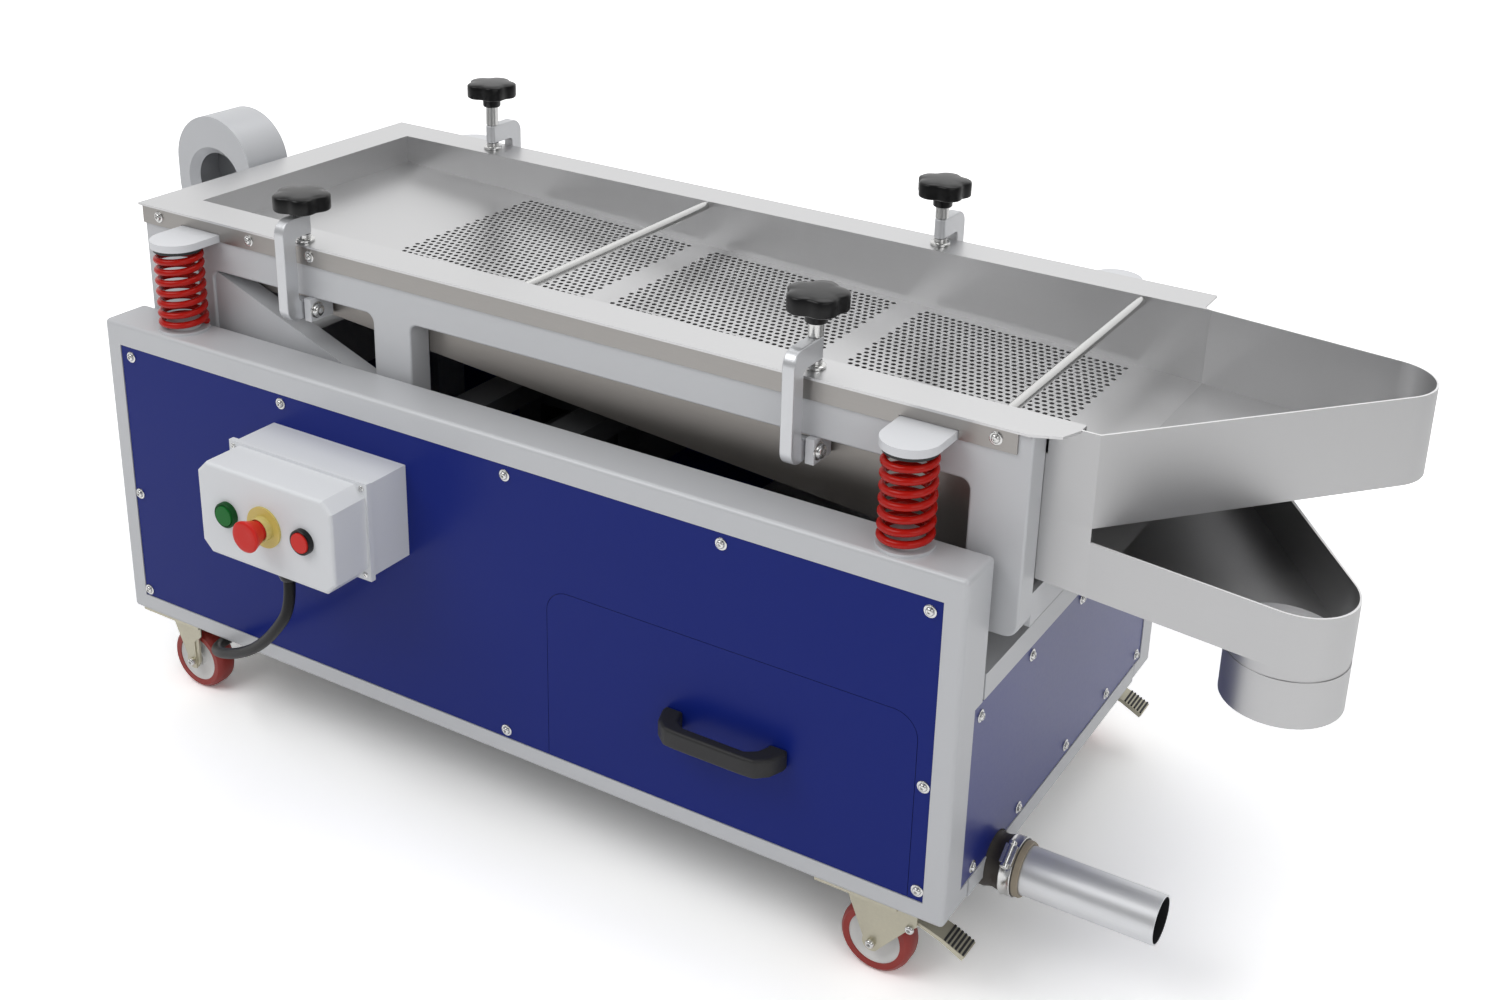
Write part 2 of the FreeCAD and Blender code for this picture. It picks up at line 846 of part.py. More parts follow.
def spring_seats():
    """Round seats on the base beams, with a spigot that centres each spring."""
    seats = []
    inner = size("spring_diameter / 2 - spring_wire")
    for name, x, y in each_spring():
        low = Vector(x, y, size("base_height"))
        disc = Part.makeCylinder(size("spring_diameter / 2"), size("seat_thickness"), low)
        spigot = Part.makeCylinder(inner - 1.5, size("seat_thickness") + 8, low)
        seats.append(disc.fuse(spigot).removeSplitter())
    shape_piece("spring_seats", Part.makeCompound(seats))


def spring_washers():
    washers = []
    for name, x, y in each_spring():
        top = Vector(x, y, size(SPRING_TOP))
        washers.append(Part.makeCylinder(size("spring_diameter / 2 - 1"), size("washer_thickness"), top))
    shape_piece("spring_washers", Part.makeCompound(washers))


def coil_spring(name, x, y):
    low, high = size(SPRING_BOTTOM), size(SPRING_TOP)
    outer = Part.makeCylinder(size("spring_diameter / 2"), high - low, Vector(x, y, low))
    inner = Part.makeCylinder(
        size("spring_diameter / 2 - spring_wire"), high - low, Vector(x, y, low)
    )
    shape_piece(f"spring_{name}", outer.cut(inner))


spring_seats()
spring_washers()
for spring, spring_x, spring_y in each_spring():
    coil_spring(spring, spring_x, spring_y)


# Screening body: painted frame
BODY_END = "body_start + body_length"
RAIL_TOP = "flange_top - flange_thickness"
BODY_REAR = "base_width - body_inset"


def body_side(name, sill):
    """Painted side of the body: deep top rail, posts, a sill and two window openings."""
    body = new_body(name)
    outer = rectangle("body_start", BODY_END, "body_bottom", RAIL_TOP)
    first = rectangle(
        "body_start + feed_post", "mid_post_start", f"body_bottom + {sill}", "rail_bottom"
    )
    second = rectangle(
        "mid_post_start + mid_post_width",
        f"{BODY_END} - end_post_width",
        f"body_bottom + {sill}",
        "rail_bottom",
    )
    pad(body, "XZ", [outer, first, second], "body_inset", "rail_depth")
    left, right = size("body_start + feed_post"), size(f"{BODY_END} - end_post_width")
    low = size("body_bottom")
    soften(
        body,
        "cutout_round",
        lambda middle, edge: runs_along(edge, "Y")
        and left - 1 < middle.x < right + 1
        and middle.z < size("rail_bottom") + 1,
    )
    soften(
        body, "corner_round", lambda middle, edge: runs_along(edge, "Y") and middle.z < low + 1
    )
    face = size("body_inset")
    soften(body, "edge_round", lambda middle, edge: abs(middle.y - face) < 0.01)
    return body


def brace(inset):
    """Sloping gusset in the feed-end window: a web, and a flange along its upper edge."""
    left, right = size("body_start + feed_post"), size("mid_post_start")
    high, low = size("rail_bottom"), size("brace_foot")
    sill = size("body_bottom + sill_height")
    metal = size("brace_thickness")
    inner = size("body_inset + rail_depth")
    web = [(left - 1, sill - 1), (right + 1, sill - 1), (right + 1, low), (left - 1, high)]
    flange = [(left - 1, high - metal), (right + 1, low - metal), (right + 1, low), (left - 1, high)]
    plate = extruded(web, "XZ", inset, metal)
    return plate.fuse(extruded(flange, "XZ", inset, inner - inset))


def end_plate(name, top, start, thickness):
    """Cross plate between the body sides."""
    body = new_body(name)
    outline = rectangle("body_inset + rail_depth", f"{BODY_REAR} - rail_depth", "body_bottom", top)
    pad(body, "YZ", [outline], start, thickness)
    return body


def body_frame():
    """The two sides with the feed end wall and the low discharge end plate, welded into one."""
    near = body_side("body_side", "sill_height")
    far = body_side("body_far_side", "rear_sill")
    wall = end_plate("body_feed_wall", RAIL_TOP, "body_start", "end_plate_thickness")
    plate = end_plate(
        "body_end_plate",
        "body_bottom + end_plate_height",
        f"{BODY_END} - end_plate_thickness",
        "end_plate_thickness",
    )
    side = near.Shape.fuse(brace(size("body_inset + brace_inset")))
    other = far.Shape.mirror(Vector(0, size("base_width / 2"), 0), ALONG_Y)
    shape_piece("body_frame", side.fuse([other, wall.Shape, plate.Shape]).removeSplitter())
    for name in ("body_side", "body_far_side", "body_feed_wall", "body_end_plate"):
        del pieces[name]


body_frame()


def spring_brackets():
    """Round-ended tongues on the body sides, one over each spring."""
    brackets = []
    radius = size("tongue_width / 2")
    thick = size("tongue_thickness")
    level = size("tongue_top") - thick
    for name, x, y in each_spring():
        tip = Part.makeCylinder(radius, thick, Vector(x, y, level))
        wall = size("body_inset") if name.startswith("front") else size(BODY_REAR)
        start = min(y, wall)
        arm = Part.makeBox(2 * radius, abs(wall - y), thick, Vector(x - radius, start, level))
        brackets.append(tip.fuse(arm).removeSplitter())
    shape_piece("spring_brackets", Part.makeCompound(brackets))


spring_brackets()

TRAY_FRONT = "body_inset - flange_overhang + flange_width"
TRAY_REAR = "base_width - body_inset + flange_overhang - flange_width"


def deck_height(x):
    return size("deck_level") - size("deck_fall") * x


def pan_height(x):
    return size("pan_level") - size("pan_fall") * x


def screen_tray():
    """Stainless tray: a flat flange that lies on the body, and side walls down to the sloping deck."""
    front, rear = size(TRAY_FRONT), size(TRAY_REAR)
    outer_front = size("body_inset - flange_overhang")
    outer_rear = size(BODY_REAR + " + flange_overhang")
    end = size("flange_length")
    thick = size("flange_thickness")
    start = size("tray_start")
    rim = size("flange_top") - thick
    outline = [
        (0, outer_front),
        (size("base_length") + 18, outer_front),
        (end, outer_front + 12),
        (end + 8, front - 14),
        (end + 8, front),
        (start, front),
        (start, rear),
        (end + 8, rear),
        (end, rear + 6),
        (end, outer_rear),
        (0, outer_rear),
    ]
    flange = extruded(outline, "XY", rim, thick)
    metal = size("sheet")
    long_end = end + 8
    side = [
        (start - metal, deck_height(start) - metal),
        (long_end, deck_height(long_end) - metal),
        (long_end, rim + thick),
        (start - metal, rim + thick),
    ]
    walls = [
        extruded(side, "XZ", front - metal, metal),
        extruded(side, "XZ", rear, metal),
        Part.makeBox(
            metal,
            rear - front + 2 * metal,
            rim + thick - deck_height(start) + metal,
            Vector(start - metal, front - metal, deck_height(start) - metal),
        ),
    ]
    shape_piece("screen_tray", flange.fuse(walls).removeSplitter())


def screen_deck():
    """Sloping stainless deck between the tray walls."""
    front, rear = size(TRAY_FRONT), size(TRAY_REAR)
    start, end = size("tray_start"), size("flange_length") + 8
    metal = size("sheet")
    side = [
        (start, deck_height(start) - metal),
        (end, deck_height(end) - metal),
        (end, deck_height(end)),
        (start, deck_height(start)),
    ]
    shape_piece("screen_deck", extruded(side, "XZ", front, rear - front))


def apron_strips():
    """Stainless strips screwed to the body sides under the flange, cut away round the spring tongues."""
    strips = []
    bottom = size(RAIL_TOP) - size("apron_height")
    thick = size("apron_thickness")
    end = size(BODY_END) - 14
    gap = size("tongue_width / 2") + 1
    notch_top = size("tongue_top") + 1
    outline = [(size("body_start"), bottom)]
    for key in ("feed", "end"):
        x = size(SPRING_X[key])
        outline += [(x - gap, bottom), (x - gap, notch_top), (x + gap, notch_top), (x + gap, bottom)]
    outline += [(end, bottom), (end, size(RAIL_TOP)), (size("body_start"), size(RAIL_TOP))]
    for start in (size("body_inset") - thick, size(BODY_REAR)):
        strips.append(extruded(outline, "XZ", start, thick))
    shape_piece("apron_strips", Part.makeCompound(strips))


def tie_rods():
    rods = []
    radius = size("rod_diameter / 2")
    front, rear = size(TRAY_FRONT), size(TRAY_REAR)
    for x in (size("rod_one"), size("rod_two")):
        low = Vector(x, front, size("flange_top") - radius - 1)
        rods.append(Part.makeCylinder(radius, rear - front, low, ALONG_Y))
    shape_piece("tie_rods", Part.makeCompound(rods))


def undersize_pan():
    """Stainless pan under the deck. It falls towards the discharge end and runs out past the end plate."""
    metal = size("sheet")
    front = size("body_inset + rail_depth + pan_gap")
    rear = size("base_width") - front
    start = size("tray_start") - 2 * metal
    end = size("chute_start")
    top = size("rail_bottom") + 30
    edge = size("upper_chute_edge")
    step = size("chute_side_start")
    outline = [
        (start, pan_height(start)),
        (end, pan_height(end)),
        (end, edge),
        (step, edge),
        (step, top),
        (start, top),
    ]
    solid = extruded(outline, "XZ", front, rear - front)
    inside = [
        (start + metal, pan_height(start + metal) + metal),
        (end + 1, pan_height(end + 1) + metal),
        (end + 1, top + 1),
        (start + metal, top + 1),
    ]
    hollow = extruded(inside, "XZ", front + metal, rear - front - 2 * metal)
    shape_piece("undersize_pan", solid.cut(hollow))


screen_tray()
screen_deck()
apron_strips()
tie_rods()
undersize_pan()


# Chutes with rounded noses
def nose_outline(near, far, centre, radius):
    """Closed outline along the near points, round a nose and back along the far points.

    The two sides that reach the nose are tangent to its arc.
    """
    def touch(point, sign):
        away = point - centre
        angle = math.atan2(away.y, away.x) + sign * math.acos(radius / away.Length)
        return centre + Vector(math.cos(angle), math.sin(angle), 0) * radius

    first = touch(near[-1], 1)
    last = touch(far[0], -1)
    tip = centre + ((first + last) * 0.5 - centre).normalize() * radius
    if tip.x < centre.x:
        tip = centre * 2 - tip
    line = near + [first]
    edges = [Part.LineSegment(a, b).toShape() for a, b in zip(line, line[1:])]
    edges.append(Part.Arc(first, tip, last).toShape())
    line = [last] + far + near[:1]
    edges += [Part.LineSegment(a, b).toShape() for a, b in zip(line, line[1:])]
    return Part.Wire(edges)


def chute_shell(near, far, inner_near, inner_far, centre, radius, low, high):
    """Channel with a rounded nose, open at its back, and the block it was hollowed from."""
    metal = size("sheet")
    outer = Part.Face(nose_outline(near, far, centre, radius)).extrude(Vector(0, 0, high - low))
    inner = Part.Face(nose_outline(inner_near, inner_far, centre, radius - metal))
    inner = inner.extrude(Vector(0, 0, high - low + 2))
    inner.translate(Vector(0, 0, -1))
    shell = outer.cut(inner)
    for solid in (shell, outer):
        solid.translate(Vector(0, 0, low))
    return shell, outer


def upper_chute():
    """Oversize chute: its rear side runs on straight, its front side closes in to a rounded nose."""
    low, high = size("upper_chute_edge"), size("flange_top")
    metal = size("sheet")
    side = size("chute_side_start")
    fold = size("chute_start")
    start = size("flange_length") + 8
    front = size("body_inset + rail_depth + pan_gap")
    rear = size(TRAY_REAR) + metal
    centre = Vector(size("upper_nose_x"), size("upper_nose_y"), 0)
    shell, outer = chute_shell(
        [Vector(side, front, 0), Vector(fold, front, 0)],
        [Vector(start, rear, 0), Vector(start, front + 3, 0), Vector(side, front + 3, 0)],
        [Vector(side - 4, front + metal, 0), Vector(fold - 0.8, front + metal, 0)],
        [Vector(start - 4, rear - metal, 0), Vector(side - 4, rear - metal, 0)],
        centre,
        size("nose_radius"),
        low,
        high,
    )
    floor_level = size("upper_floor_level")
    reach = size("upper_nose_reach + 2 * nose_radius + chute_gap")
    slab = Part.makeBox(reach, size("base_width"), metal, Vector(start, 0, floor_level))
    outlet = Part.makeCylinder(
        size("outlet_radius"), 10, Vector(centre.x, centre.y, floor_level - 4)
    )
    under_flange = Part.makeBox(
        start - side + 5, 20, 10, Vector(side - 5, front - 5, high - size("flange_thickness"))
    )
    floor = outer.common(slab).cut(outlet)
    shape_piece("upper_chute", shell.cut(under_flange).fuse(floor).removeSplitter())


def lower_chute():
    """Undersize chute under the other one, falling with the pan, with a round spout under its nose."""
    metal = size("sheet")
    start = size("chute_start")
    front = size("body_inset + rail_depth + pan_gap")
    rear = size("base_width") - front
    centre = Vector(size("lower_nose_x"), size("lower_nose_y"), 0)
    radius = size("lower_nose_radius")
    high = size("upper_chute_edge") - 4
    low = size("spout_bottom")
    shell, outer = chute_shell(
        [Vector(start, front, 0)],
        [Vector(start, rear, 0)],
        [Vector(start - 4, front + metal, 0)],
        [Vector(start - 4, rear - metal, 0)],
        centre,
        radius,
        low,
        high,
    )
    last = centre.x + radius + 5
    under = [
        (start - 1, low - 1),
        (last, low - 1),
        (last, pan_height(last)),
        (start - 1, pan_height(start - 1)),
    ]
    rise = size("lower_rim_height")
    over = [
        (start - 1, pan_height(start - 1) + rise),
        (last, pan_height(last) + rise),
        (last, high + 1),
        (start - 1, high + 1),
    ]
    slab = [
        (start - 1, pan_height(start - 1)),
        (last, pan_height(last)),
        (last, pan_height(last) + metal),
        (start - 1, pan_height(start - 1) + metal),
    ]
    wide = size("base_width")
    shell = shell.cut(extruded(under, "XZ", 0, wide)).cut(extruded(over, "XZ", 0, wide))
    floor = outer.common(extruded(slab, "XZ", 0, wide))
    spout_radius = size("spout_radius")
    spout_bottom = size("spout_bottom")
    spout_x = size("spout_x")
    top = pan_height(spout_x - spout_radius) + metal
    sleeve = size("spout_sleeve")
    tube = Part.makeCylinder(spout_radius, sleeve, Vector(spout_x, centre.y, spout_bottom))
    neck = Part.makeCylinder(
        spout_radius - size("spout_neck"),
        top - spout_bottom - sleeve,
        Vector(spout_x, centre.y, spout_bottom + sleeve),
    )
    tube = tube.fuse(neck)
    bore = Part.makeCylinder(
        spout_radius - metal, top - spout_bottom + 20, Vector(spout_x, centre.y, spout_bottom - 5)
    )
    above = [
        (start - 1, pan_height(start - 1) + metal),
        (last, pan_height(last) + metal),
        (last, 500),
        (start - 1, 500),
    ]
    tube = tube.cut(extruded(above, "XZ", 0, wide))
    shape_piece("lower_chute", shell.fuse([floor, tube]).cut(bore).removeSplitter())


upper_chute()
lower_chute()


# Blower scroll on the feed end
def blower_scroll():
    """Snail housing with its axis across the machine, a flared inlet in front and a duct to the body."""
    start = size("base_width / 2 - scroll_width / 2")
    width, metal = size("scroll_width"), size("sheet")
    x, z = size("scroll_x"), size("scroll_z")
    low = z - size("scroll_drop")
    end = size("body_start")

    def drum(shrink):
        """Two drums, one over the other, and the duct at their foot, drawn smaller by shrink."""
        radius = size("scroll_radius") - shrink
        depth = width - 2 * shrink
        front = start + shrink
        upper = Part.makeCylinder(radius, depth, Vector(x, front, z), ALONG_Y)
        lower = Part.makeCylinder(radius, depth, Vector(x, front, low), ALONG_Y)
        between = Part.makeBox(2 * radius, depth, z - low, Vector(x - radius, front, low))
        duct_length = end - x + (1 if shrink else 0)
        duct_height = size("duct_height") - 2 * shrink
        duct = Part.makeBox(duct_length, depth, duct_height, Vector(x, front, low - radius))
        return upper.fuse([lower, between, duct]).removeSplitter()

    centre = Vector(x, start, z - size("inlet_drop"))
    flare = size("inlet_flare")
    inlet = size("inlet_radius")
    outside = Part.makeCone(inlet + flare + metal, inlet + metal, flare, centre, ALONG_Y)
    inside = Part.makeCone(inlet + flare, inlet, flare, centre, ALONG_Y)
    opening = Part.makeCylinder(inlet + flare, 3 * metal, centre - ALONG_Y * metal, ALONG_Y)
    shell = drum(0).cut(drum(metal)).cut(opening).fuse(outside.cut(inside))
    shape_piece("blower_scroll", shell.removeSplitter())


blower_scroll()


# Clamps that hold the tray
CLAMPS = {
    "front_feed": ("clamp_front_feed", "near_screw_line", "near_knob_bottom", False),
    "front_end": ("clamp_front_end", "clamp_screw_line", "knob_bottom", False),
    "rear_feed": ("clamp_rear_feed", "clamp_screw_line", "far_knob_bottom", True),
    "rear_end": ("clamp_rear_end", "clamp_screw_line", "knob_bottom", True),
}


def to_rear(shape):
    return shape.mirror(Vector(0, size("base_width / 2"), 0), ALONG_Y)


def clamp_brackets():
    """Lugs under the top rails, each with the pivot bolt of one clamp."""
    lugs = []
    y, z = size("clamp_pivot_line"), size("clamp_pivot_level")
    radius = size("clamp_end_radius")
    top = size("rail_bottom")
    wide, deep = size("lug_thickness"), size("lug_depth")
    front = size("lug_front")
    for name, (cell, line, knob, rear) in CLAMPS.items():
        x = size(cell)
        start = x + size("clamp_thickness / 2 + clamp_side_gap")
        lug = Part.makeBox(wide, deep, top - z + radius + 1, Vector(start, front, z - radius - 1))
        bolt = Part.makeCylinder(
            size("pivot_diameter / 2"),
            start + wide - x + size("clamp_thickness / 2"),
            Vector(x - size("clamp_thickness / 2"), y, z),
            ALONG_X,
        )
        head = Part.makeCylinder(size("pivot_head"), 4, Vector(start + wide, y, z), ALONG_X)
        lug = lug.fuse([bolt, head]).removeSplitter()
        lugs.append(to_rear(lug) if rear else lug)
    shape_piece("clamp_brackets", Part.makeCompound(lugs))


def clamp_arm(name, x, screw, rear):
    """C-shaped arm: it turns on the pivot under the rail and reaches over the flange."""
    thick = size("clamp_thickness")
    y, z = size("clamp_pivot_line"), size("clamp_pivot_level")
    end_radius = size("clamp_end_radius")
    edge = size("body_inset - flange_overhang")
    inner = edge - size("clamp_reach_gap")
    outer = inner - size("clamp_web")
    top = size("clamp_top")
    leg = size("clamp_leg")
    tip = screw + thick * 0.6
    outline = [
        (outer, z - end_radius),
        (y, z - end_radius),
        (y, z + end_radius),
        (inner, z + end_radius),
        (inner, top - leg),
        (tip, top - leg),
        (tip, top),
        (outer, top),
    ]
    arm = extruded(outline, "YZ", x - thick / 2, thick)
    rounds = (
        (size("clamp_corner"), lambda p, e: runs_along(e, "X") and abs(p.y - outer) < 0.01),
        (size("clamp_edge") * 3, lambda p, e: runs_along(e, "X") and abs(p.y - inner) < 0.01),
        (thick * 0.45, lambda p, e: runs_along(e, "Z") and abs(p.y - tip) < 0.01),
        (
            size("clamp_edge"),
            lambda p, e: p.y < tip - thick and abs(abs(p.x - x) - thick / 2) < 0.01 and p.z > z + 12,
        ),
    )
    for radius, wanted in rounds:
        picked = [
            e for e in arm.Edges if wanted(e.valueAt((e.FirstParameter + e.LastParameter) / 2), e)
        ]
        arm = arm.makeFillet(radius, picked)
    eye = Part.makeCylinder(end_radius, thick, Vector(x - thick / 2, y, z), ALONG_X)
    hole = Part.makeCylinder(
        size("pivot_diameter / 2 + running_gap"), thick + 2, Vector(x - thick / 2 - 1, y, z), ALONG_X
    )
    screw_hole = Part.makeCylinder(
        size("screw_diameter / 2 + running_gap"), leg + 2, Vector(x, screw, top - leg - 1)
    )
    arm = arm.fuse(eye).cut(hole).cut(screw_hole).removeSplitter()
    shape_piece(f"clamp_arm_{name}", to_rear(arm) if rear else arm)


def clamp_knob(name, x, screw, bottom, rear):
    """Star knob with its screw and the foot disc that presses on the flange."""
    y = size("base_width") - screw if rear else screw
    foot_bottom = size("flange_top + running_gap")
    foot = Part.makeCylinder(size("foot_diameter / 2"), size("foot_thickness"), Vector(x, y, foot_bottom))
    rod = Part.makeCylinder(
        size("screw_diameter / 2"), bottom - foot_bottom, Vector(x, y, foot_bottom)
    )
    radius = size("knob_diameter / 2")
    head = Part.makeCylinder(radius, size("knob_height"), Vector(x, y, bottom))
    lobes = 6
    for number in range(lobes):
        angle = 2 * math.pi * (number + 0.5) / lobes
        far = Vector(math.cos(angle), math.sin(angle), 0) * (radius * 1.12)
        cut = Part.makeCylinder(radius * 0.26, size("knob_height") + 2, Vector(x, y, bottom - 1) + far)
        head = head.cut(cut)
    over_arm = size("clamp_top") + 1
    hub_low = max(bottom - 10, over_arm)
    solids = [rod, head, Part.makeCylinder(radius * 0.36, bottom - hub_low + 1, Vector(x, y, hub_low))]
    if hub_low > over_arm:
        collar = Part.makeCylinder(
            size("collar_diameter / 2"), hub_low - over_arm, Vector(x, y, over_arm)
        )
        solids.append(collar)
    shape_piece(f"clamp_knob_{name}", foot.fuse(solids).removeSplitter())


clamp_brackets()
for clamp, (cell, line, knob, at_rear) in CLAMPS.items():
    clamp_arm(clamp, size(cell), size(line), at_rear)
    clamp_knob(clamp, size(cell), size(line), size(knob), at_rear)


# Motor under the pan
def vibration_motor():
    """Two cross beams between the body sides, with the vibration motor bolted under them."""
    x, z = size("motor_x"), size("motor_level")
    width = size("base_width - 2 * body_inset - 2 * rail_depth")
    start = size("body_inset + rail_depth")
    beam = size("motor_beam_depth")
    level = size("body_bottom + sill_height")
    spacing = size("motor_beam_spacing")
    beams = [
        Part.makeBox(beam, width, beam * 0.6, Vector(x + offset - beam / 2, start, level))
        for offset in (-spacing / 2, spacing / 2)
    ]
    radius = size("motor_diameter / 2")
    middle = size("base_width / 2")
    length = size("motor_length")
    drum = Part.makeCylinder(radius, length, Vector(x, middle - length / 2, z), ALONG_Y)
    foot = Part.makeBox(
        spacing + beam, length * 0.5, level - z, Vector(x - (spacing + beam) / 2, middle - length / 4, z)
    )
    inner = spacing - beam / 2
    hollow = Part.makeBox(inner, length, level - z - 14, Vector(x - inner / 2, middle - length / 2, z))
    foot = foot.cut(hollow)
    shape_piece("vibration_motor", drum.fuse([foot] + beams).removeSplitter())


vibration_motor()


# Control box
BOX_LEFT = "box_start"
BOX_RIGHT = "box_start + box_width"
BOX_LOW = "box_level"
BOX_HIGH = "box_level + box_height"


def control_box():
    """Back half of the plastic control box, screwed to the panel, with a lip at the seam."""
    body = new_body("control_box")
    pad(body, "XZ", [rectangle(BOX_LEFT, BOX_RIGHT, BOX_LOW, BOX_HIGH)], "-box_seam", "box_seam + 1")
    lip = rectangle(
        f"{BOX_LEFT} - box_lip",
        f"{BOX_RIGHT} + box_lip",
        f"{BOX_LOW} - box_lip",
        f"{BOX_HIGH} + box_lip",
    )
    pad(body, "XZ", [lip], "-box_seam", "box_lip")


def control_box_lid():
    """Front half of the box, with chamfered corners and the holes for the operators."""
    body = new_body("control_box_lid")
    lip = rectangle(
        f"{BOX_LEFT} - box_lip",
        f"{BOX_RIGHT} + box_lip",
        f"{BOX_LOW} - box_lip",
        f"{BOX_HIGH} + box_lip",
    )
    pad(body, "XZ", [lip], "-box_seam - box_lip", "box_lip")
    face = rectangle(BOX_LEFT, BOX_RIGHT, BOX_LOW, BOX_HIGH)
    pad(body, "XZ", [face], "-box_depth", "box_depth - box_seam - box_lip")
    front = -size("box_depth")
    seam = -size("box_seam + box_lip")
    soften(
        body,
        "box_corner",
        lambda middle, edge: runs_along(edge, "Y") and middle.y < seam - 2,
        "Chamfer",
    )
    soften(body, "box_edge", lambda middle, edge: abs(middle.y - front) < 0.01)
    hole = "button_diameter / 2 + running_gap"
    for place in ("stop_line - button_spacing_feed", "stop_line", "stop_line + button_spacing_end"):
        pocket(body, "XZ", [("circle", place, "button_level", hole)], "-box_depth - 1", "31")


control_box()
control_box_lid()


def round_button(name, place, radius, reach, stem):
    """Push button in its hole in the lid, free to go in by its travel."""
    x, z = size(place), size("button_level")
    face = -size("box_depth")
    head = Part.makeCylinder(size(radius), reach, Vector(x, face - reach, z), ALONG_Y)
    shaft = Part.makeCylinder(size("button_diameter / 2"), stem, Vector(x, face - 0.5, z), ALONG_Y)
    shape_piece(name, head.fuse(shaft).removeSplitter())


round_button("start_button", "stop_line - button_spacing_feed", "button_diameter / 2", 7.0, 20.0)
round_button("stop_button", "stop_line + button_spacing_end", "button_diameter / 2", 7.0, 20.0)


def emergency_button():
    """Mushroom head on a stem, standing clear of the lid by its travel."""
    x, z = size("stop_line"), size("button_level")
    face = -size("box_depth")
    ring = 2.0
    gap = size("button_travel") + 4
    head_start = face - ring - gap
    head = Part.makeCylinder(
        size("mushroom_diameter / 2"), size("mushroom_height"), Vector(x, head_start, z), -ALONG_Y
    )
    stem = Part.makeCylinder(
        size("button_diameter / 2"), gap + ring + 20, Vector(x, head_start, z), ALONG_Y
    )
    shape_piece("emergency_button", head.fuse(stem).removeSplitter())
    disc = Part.makeCylinder(size("ring_diameter / 2"), ring, Vector(x, face, z), -ALONG_Y)
    hole = Part.makeCylinder(
        size("button_diameter / 2 + running_gap"), 6, Vector(x, face + 2, z), -ALONG_Y
    )
    shape_piece("stop_button_ring", disc.cut(hole))


emergency_button()

# Power cable from the box down and under the base
CABLE_POINTS = [
    (340, -80, 178),
    (340, -80, 146),
    (308, -73, 104),
    (264, -60, 62),
    (212, -44, 28),
    (162, -26, 4),
    (124, 6, -17),
    (116, 50, -22),
    (114, 82, -2),
    (114, 82, 32),
]


def cable_gland():
    x, y, z = CABLE_POINTS[0]
    radius = size("gland_diameter / 2")
    top = size("box_level")
    nut = Part.makeCylinder(radius, (top - z) / 2, Vector(x, y, top - (top - z) / 2))
    cone = Part.makeCone(size("cable_diameter / 2 + 1"), radius - 1, (top - z) / 2, Vector(x, y, z))
    shape_piece("cable_gland", nut.fuse(cone).removeSplitter())


def power_cable():
    """Cable as straight runs joined by tangent arcs, each as large as its two runs allow."""
    places = [Vector(*point) for point in CABLE_POINTS]
    edges = []
    last = places[0]
    length = 0.0
    for before, corner, after in zip(places, places[1:], places[2:]):
        entry = (corner - before).normalize()
        leave = (after - corner).normalize()
        turn = entry.getAngle(leave)
        shorter = min((corner - before).Length, (after - corner).Length)
        reach = 0.45 * shorter
        radius = reach / math.tan(turn / 2)
        print(f"cable bend radius {radius:.0f} mm, turn {math.degrees(turn):.0f} degrees")
        first = corner - entry * reach
        second = corner + leave * reach
        inward = (leave - entry).normalize()
        middle = corner + inward * (radius / math.cos(turn / 2) - radius)
        edges.append(Part.LineSegment(last, first).toShape())
        edges.append(Part.Arc(first, middle, second).toShape())
        last = second
    edges.append(Part.LineSegment(last, places[-1]).toShape())
    path = Part.Wire(edges)
    radius = size("cable_diameter / 2")
    start = (places[1] - places[0]).normalize()
    ring = Part.Wire(Part.makeCircle(radius, places[0], start))
    tube = path.makePipeShell([ring], True, False)
    print(f"cable length {path.Length:.0f} mm, section times length over volume "
          f"{path.Length * math.pi * radius ** 2 / tube.Volume:.4f}")
    shape_piece("power_cable", tube)


cable_gland()
power_cable()


# Drain pipe at the discharge end
def drain_pipe():
    """Steel pipe in a short socket that sits in the notch of the lower end rail, held by a clip."""
    y, z = size("pipe_line"), size("pipe_level")
    radius, wall = size("pipe_diameter / 2"), size("pipe_wall")
    start = size("socket_start") + 10
    end = size("pipe_end")
    held = radius - size("pipe_step")
    free = size("socket_end") + 1
    tube = Part.makeCylinder(held, free - start, Vector(start, y, z), ALONG_X)
    tube = tube.fuse(Part.makeCylinder(radius, end - free, Vector(free, y, z), ALONG_X))
    bore = Part.makeCylinder(radius - wall, end - start + 2, Vector(start - 1, y, z), ALONG_X)
    shape_piece("drain_pipe", tube.cut(bore))
    sleeve_radius = radius + size("socket_wall")
    sleeve_start, sleeve_end = size("socket_start"), size("socket_end")
    sleeve = Part.makeCylinder(
        sleeve_radius, sleeve_end - sleeve_start, Vector(sleeve_start, y, z), ALONG_X
    )
    inside = Part.makeCylinder(
        held, sleeve_end - sleeve_start + 2, Vector(sleeve_start - 1, y, z), ALONG_X
    )
    shape_piece("drain_socket", sleeve.cut(inside))
    clip_start = sleeve_end - size("clip_width") - 6
    band = Part.makeCylinder(
        sleeve_radius + 2, size("clip_width"), Vector(clip_start, y, z), ALONG_X
    )
    hole = Part.makeCylinder(
        sleeve_radius, size("clip_width") + 2, Vector(clip_start - 1, y, z), ALONG_X
    )
    lug = Part.makeBox(
        size("clip_width"), 12, 12, Vector(clip_start, y - 6, z + sleeve_radius)
    )
    shape_piece("pipe_clip", band.fuse(lug).cut(hole).removeSplitter())


drain_pipe()

